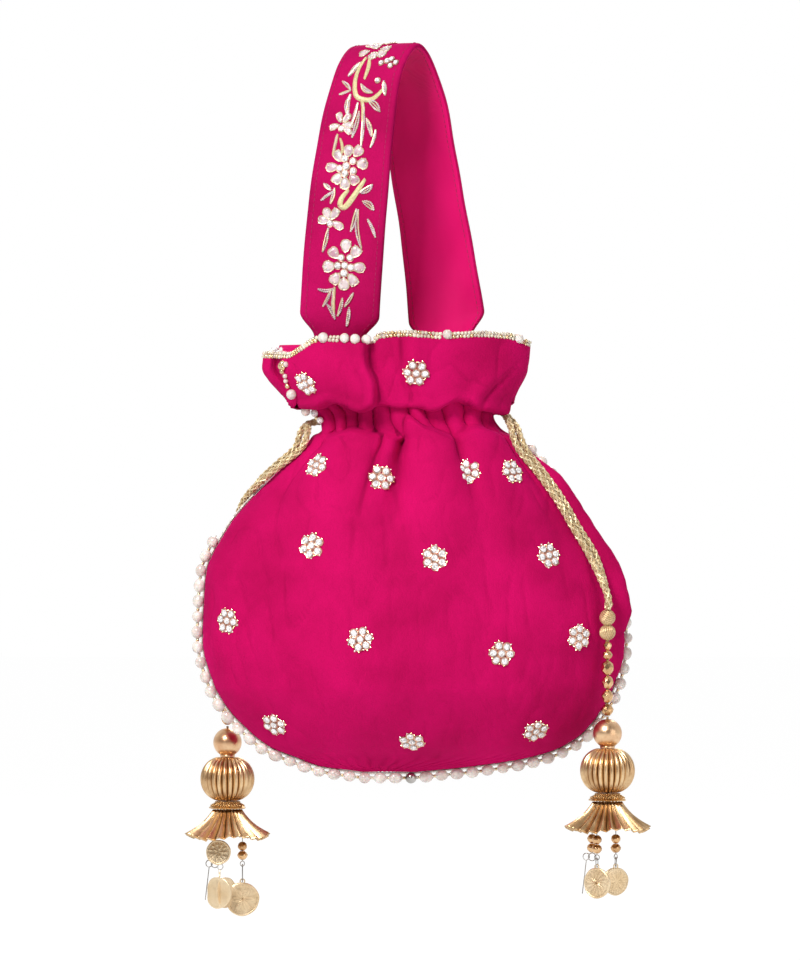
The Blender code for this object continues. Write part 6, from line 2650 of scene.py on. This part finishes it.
@dataclass
class RimTrim:
    """Trim along the collar's top edge: two rows of seed beads, with pearls among them."""

    folds: VelvetFolds
    finishes: Finishes
    bead: float = 1.0 * MM
    pearl: float = 2.6 * MM
    pearl_room: float = 2.6 * MM
    row_rise: float = 1.55 * MM
    # Places of the pearls on the front, in millimetres across
    front_pearls: tuple[float, ...] = (-32.0, -21.0, -15.5, -10.0, 29.0, 66.0)
    back_pearls: tuple[float, ...] = (-48.0, -22.0, 4.0, 30.0, 56.0)

    def edge(self, face: Face) -> list[Vector]:
        """Line of the collar's top edge on one face."""
        angles = np.linspace(0.03, pi - 0.03, 220)
        heights = np.full_like(angles, self.folds.form.rim)
        points = self.folds.surface(face, angles, heights)
        return [Vector(point) for point in points]

    def build(self) -> Item:
        """Sew the trim on."""
        sketch = Sketch()
        count = 0
        for face in (Face.FRONT, Face.BACK):
            places = even_route(self.edge(face), self.bead * 1.86)
            spots = self.front_pearls if face is Face.FRONT else self.back_pearls
            for place in places:
                near = min(abs(place.x - spot * MM) for spot in spots)
                count += 1
                if near < self.pearl_room:
                    continue
                for row in (0, 1):
                    lift = 0.55 * MM + row * self.row_rise
                    lean = face.value * -0.25 * MM * (1 - row)
                    half = 0.5 * self.bead * (row - 0.5)
                    point = place + Vector((half, lean, lift + 0.22 * MM * (chance(count, row) - 0.5)))
                    size = self.bead * (0.9 + 0.2 * chance(count, row + 3))
                    sketch.ball(point, size, 5, 7, slot=2 if chance(count, row + 7) < 0.72 else 3)
            for number, spot in enumerate(spots):
                place = min(places, key=lambda point: abs(point.x - spot * MM))
                size = self.pearl * (0.92 + 0.12 * chance(number, 9))
                sketch.ball(place + Vector((0.0, 0.0, 1.9 * MM)), size, 9, 14, slot=number % 2)
        self.left_cluster(sketch)
        self.edge_beads(sketch)
        item = sketch.finish("rim_beads", [*self.finishes.beads, self.finishes.stone], 60.0)
        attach(item, "bag")
        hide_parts("rim_pearls")
        return item

    def edge_beads(self, sketch: Sketch) -> None:
        """Sew the beads down the left edge of the front's collar."""
        for level, across, radius, kind in COLLAR_BEADS:
            height = level * MM
            edge = float(self.folds.flap_edge(np.array([height]))[0])
            _, width, _ = self.folds.form.sizes_at(height)
            angle = max(edge, 0.16) + across * MM / (width * 0.7)
            point, _ = self.folds.spot(Face.FRONT, angle, height, (0.4 + radius * 0.6) * MM)
            slot = (0, 3, 4)[kind]
            sketch.ball(point, radius * MM, 7, 10, slot=slot)

    def left_cluster(self, sketch: Sketch) -> None:
        """Add the bunch of larger beads at the left end of the edge."""
        edge = self.edge(Face.FRONT)
        start = edge[2]
        offsets = ((0.0, -1.5, 2.0, 2.2), (3.6, -2.6, 1.6, 2.1), (7.0, -3.0, 1.8, 1.9), (1.6, 0.6, 4.0, 1.9),
                   (5.2, -1.0, 3.8, 1.7), (9.6, -3.2, 1.6, 1.4))
        for number, (x, y, z, radius) in enumerate(offsets):
            slot = (1, 4, 0, 4, 1, 3)[number]
            sketch.ball(start + Vector((x, y, z)) * MM, radius * MM, 8, 12, slot=slot)


# Drawstring and tassel on each side: level in the casing, axis of the tassel, and its drop
PULLS: tuple[tuple[Side, float, tuple[float, float], float], ...] = (
    (Side.RIGHT, -181.5 * MM, (109.5 * MM, -23.0 * MM), 0.0),
    (Side.LEFT, -187.0 * MM, (-80.5 * MM, 28.0 * MM), 6.5 * MM),
)


def dress(item: Item, material: Material) -> None:
    """Put a material on every slot of an object, and leave its mesh as it is."""
    if not item.material_slots:
        item.data.materials.append(material)
    for slot in item.material_slots:
        slot.material = material


def main() -> None:
    """Build the bag, piece by piece: the camera and the cords come first."""
    logging.basicConfig(level=logging.INFO, format="%(levelname)s %(message)s")
    finishes = Finishes()
    form = BagForm()
    folds = VelvetFolds(form)
    strap_form = StrapForm()
    Studio().build()
    LOG.info("studio: camera, floor and lamps")
    for side, level, axis, drop in PULLS:
        Drawstring(side, form, finishes, level, axis, -280.0 * MM - drop).build()
        LOG.info("drawstring %s: loop and two strands", side.word)
    for face in (Face.FRONT, Face.BACK):
        VelvetPanels(form, folds, finishes).build(face)
        LOG.info("velvet panel %s", face.word)
    Lining(form, folds, finishes).build()
    LOG.info("satin lining")
    Strap(strap_form, finishes).build()
    LOG.info("strap: velvet face, satin backing and stitches")
    Embroidery(strap_form, finishes).build()
    LOG.info("strap embroidery")
    Rosettes(folds, finishes).build()
    LOG.info("rosettes on both faces")
    SeamTrim(form, folds, finishes).build()
    LOG.info("seam pearls and edging")
    RimTrim(folds, finishes).build()
    LOG.info("rim and collar beads")
    for side, _, axis, drop in PULLS:
        Tassel(side, axis, drop, finishes).build()
        LOG.info("tassel %s", side.word)
    for side in Side:
        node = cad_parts[f"core_{side.word}"]
        dress(node, finishes.knot_dark)
        LOG.info("core thread %s", side.word)


if __name__ == "__main__":
    main()
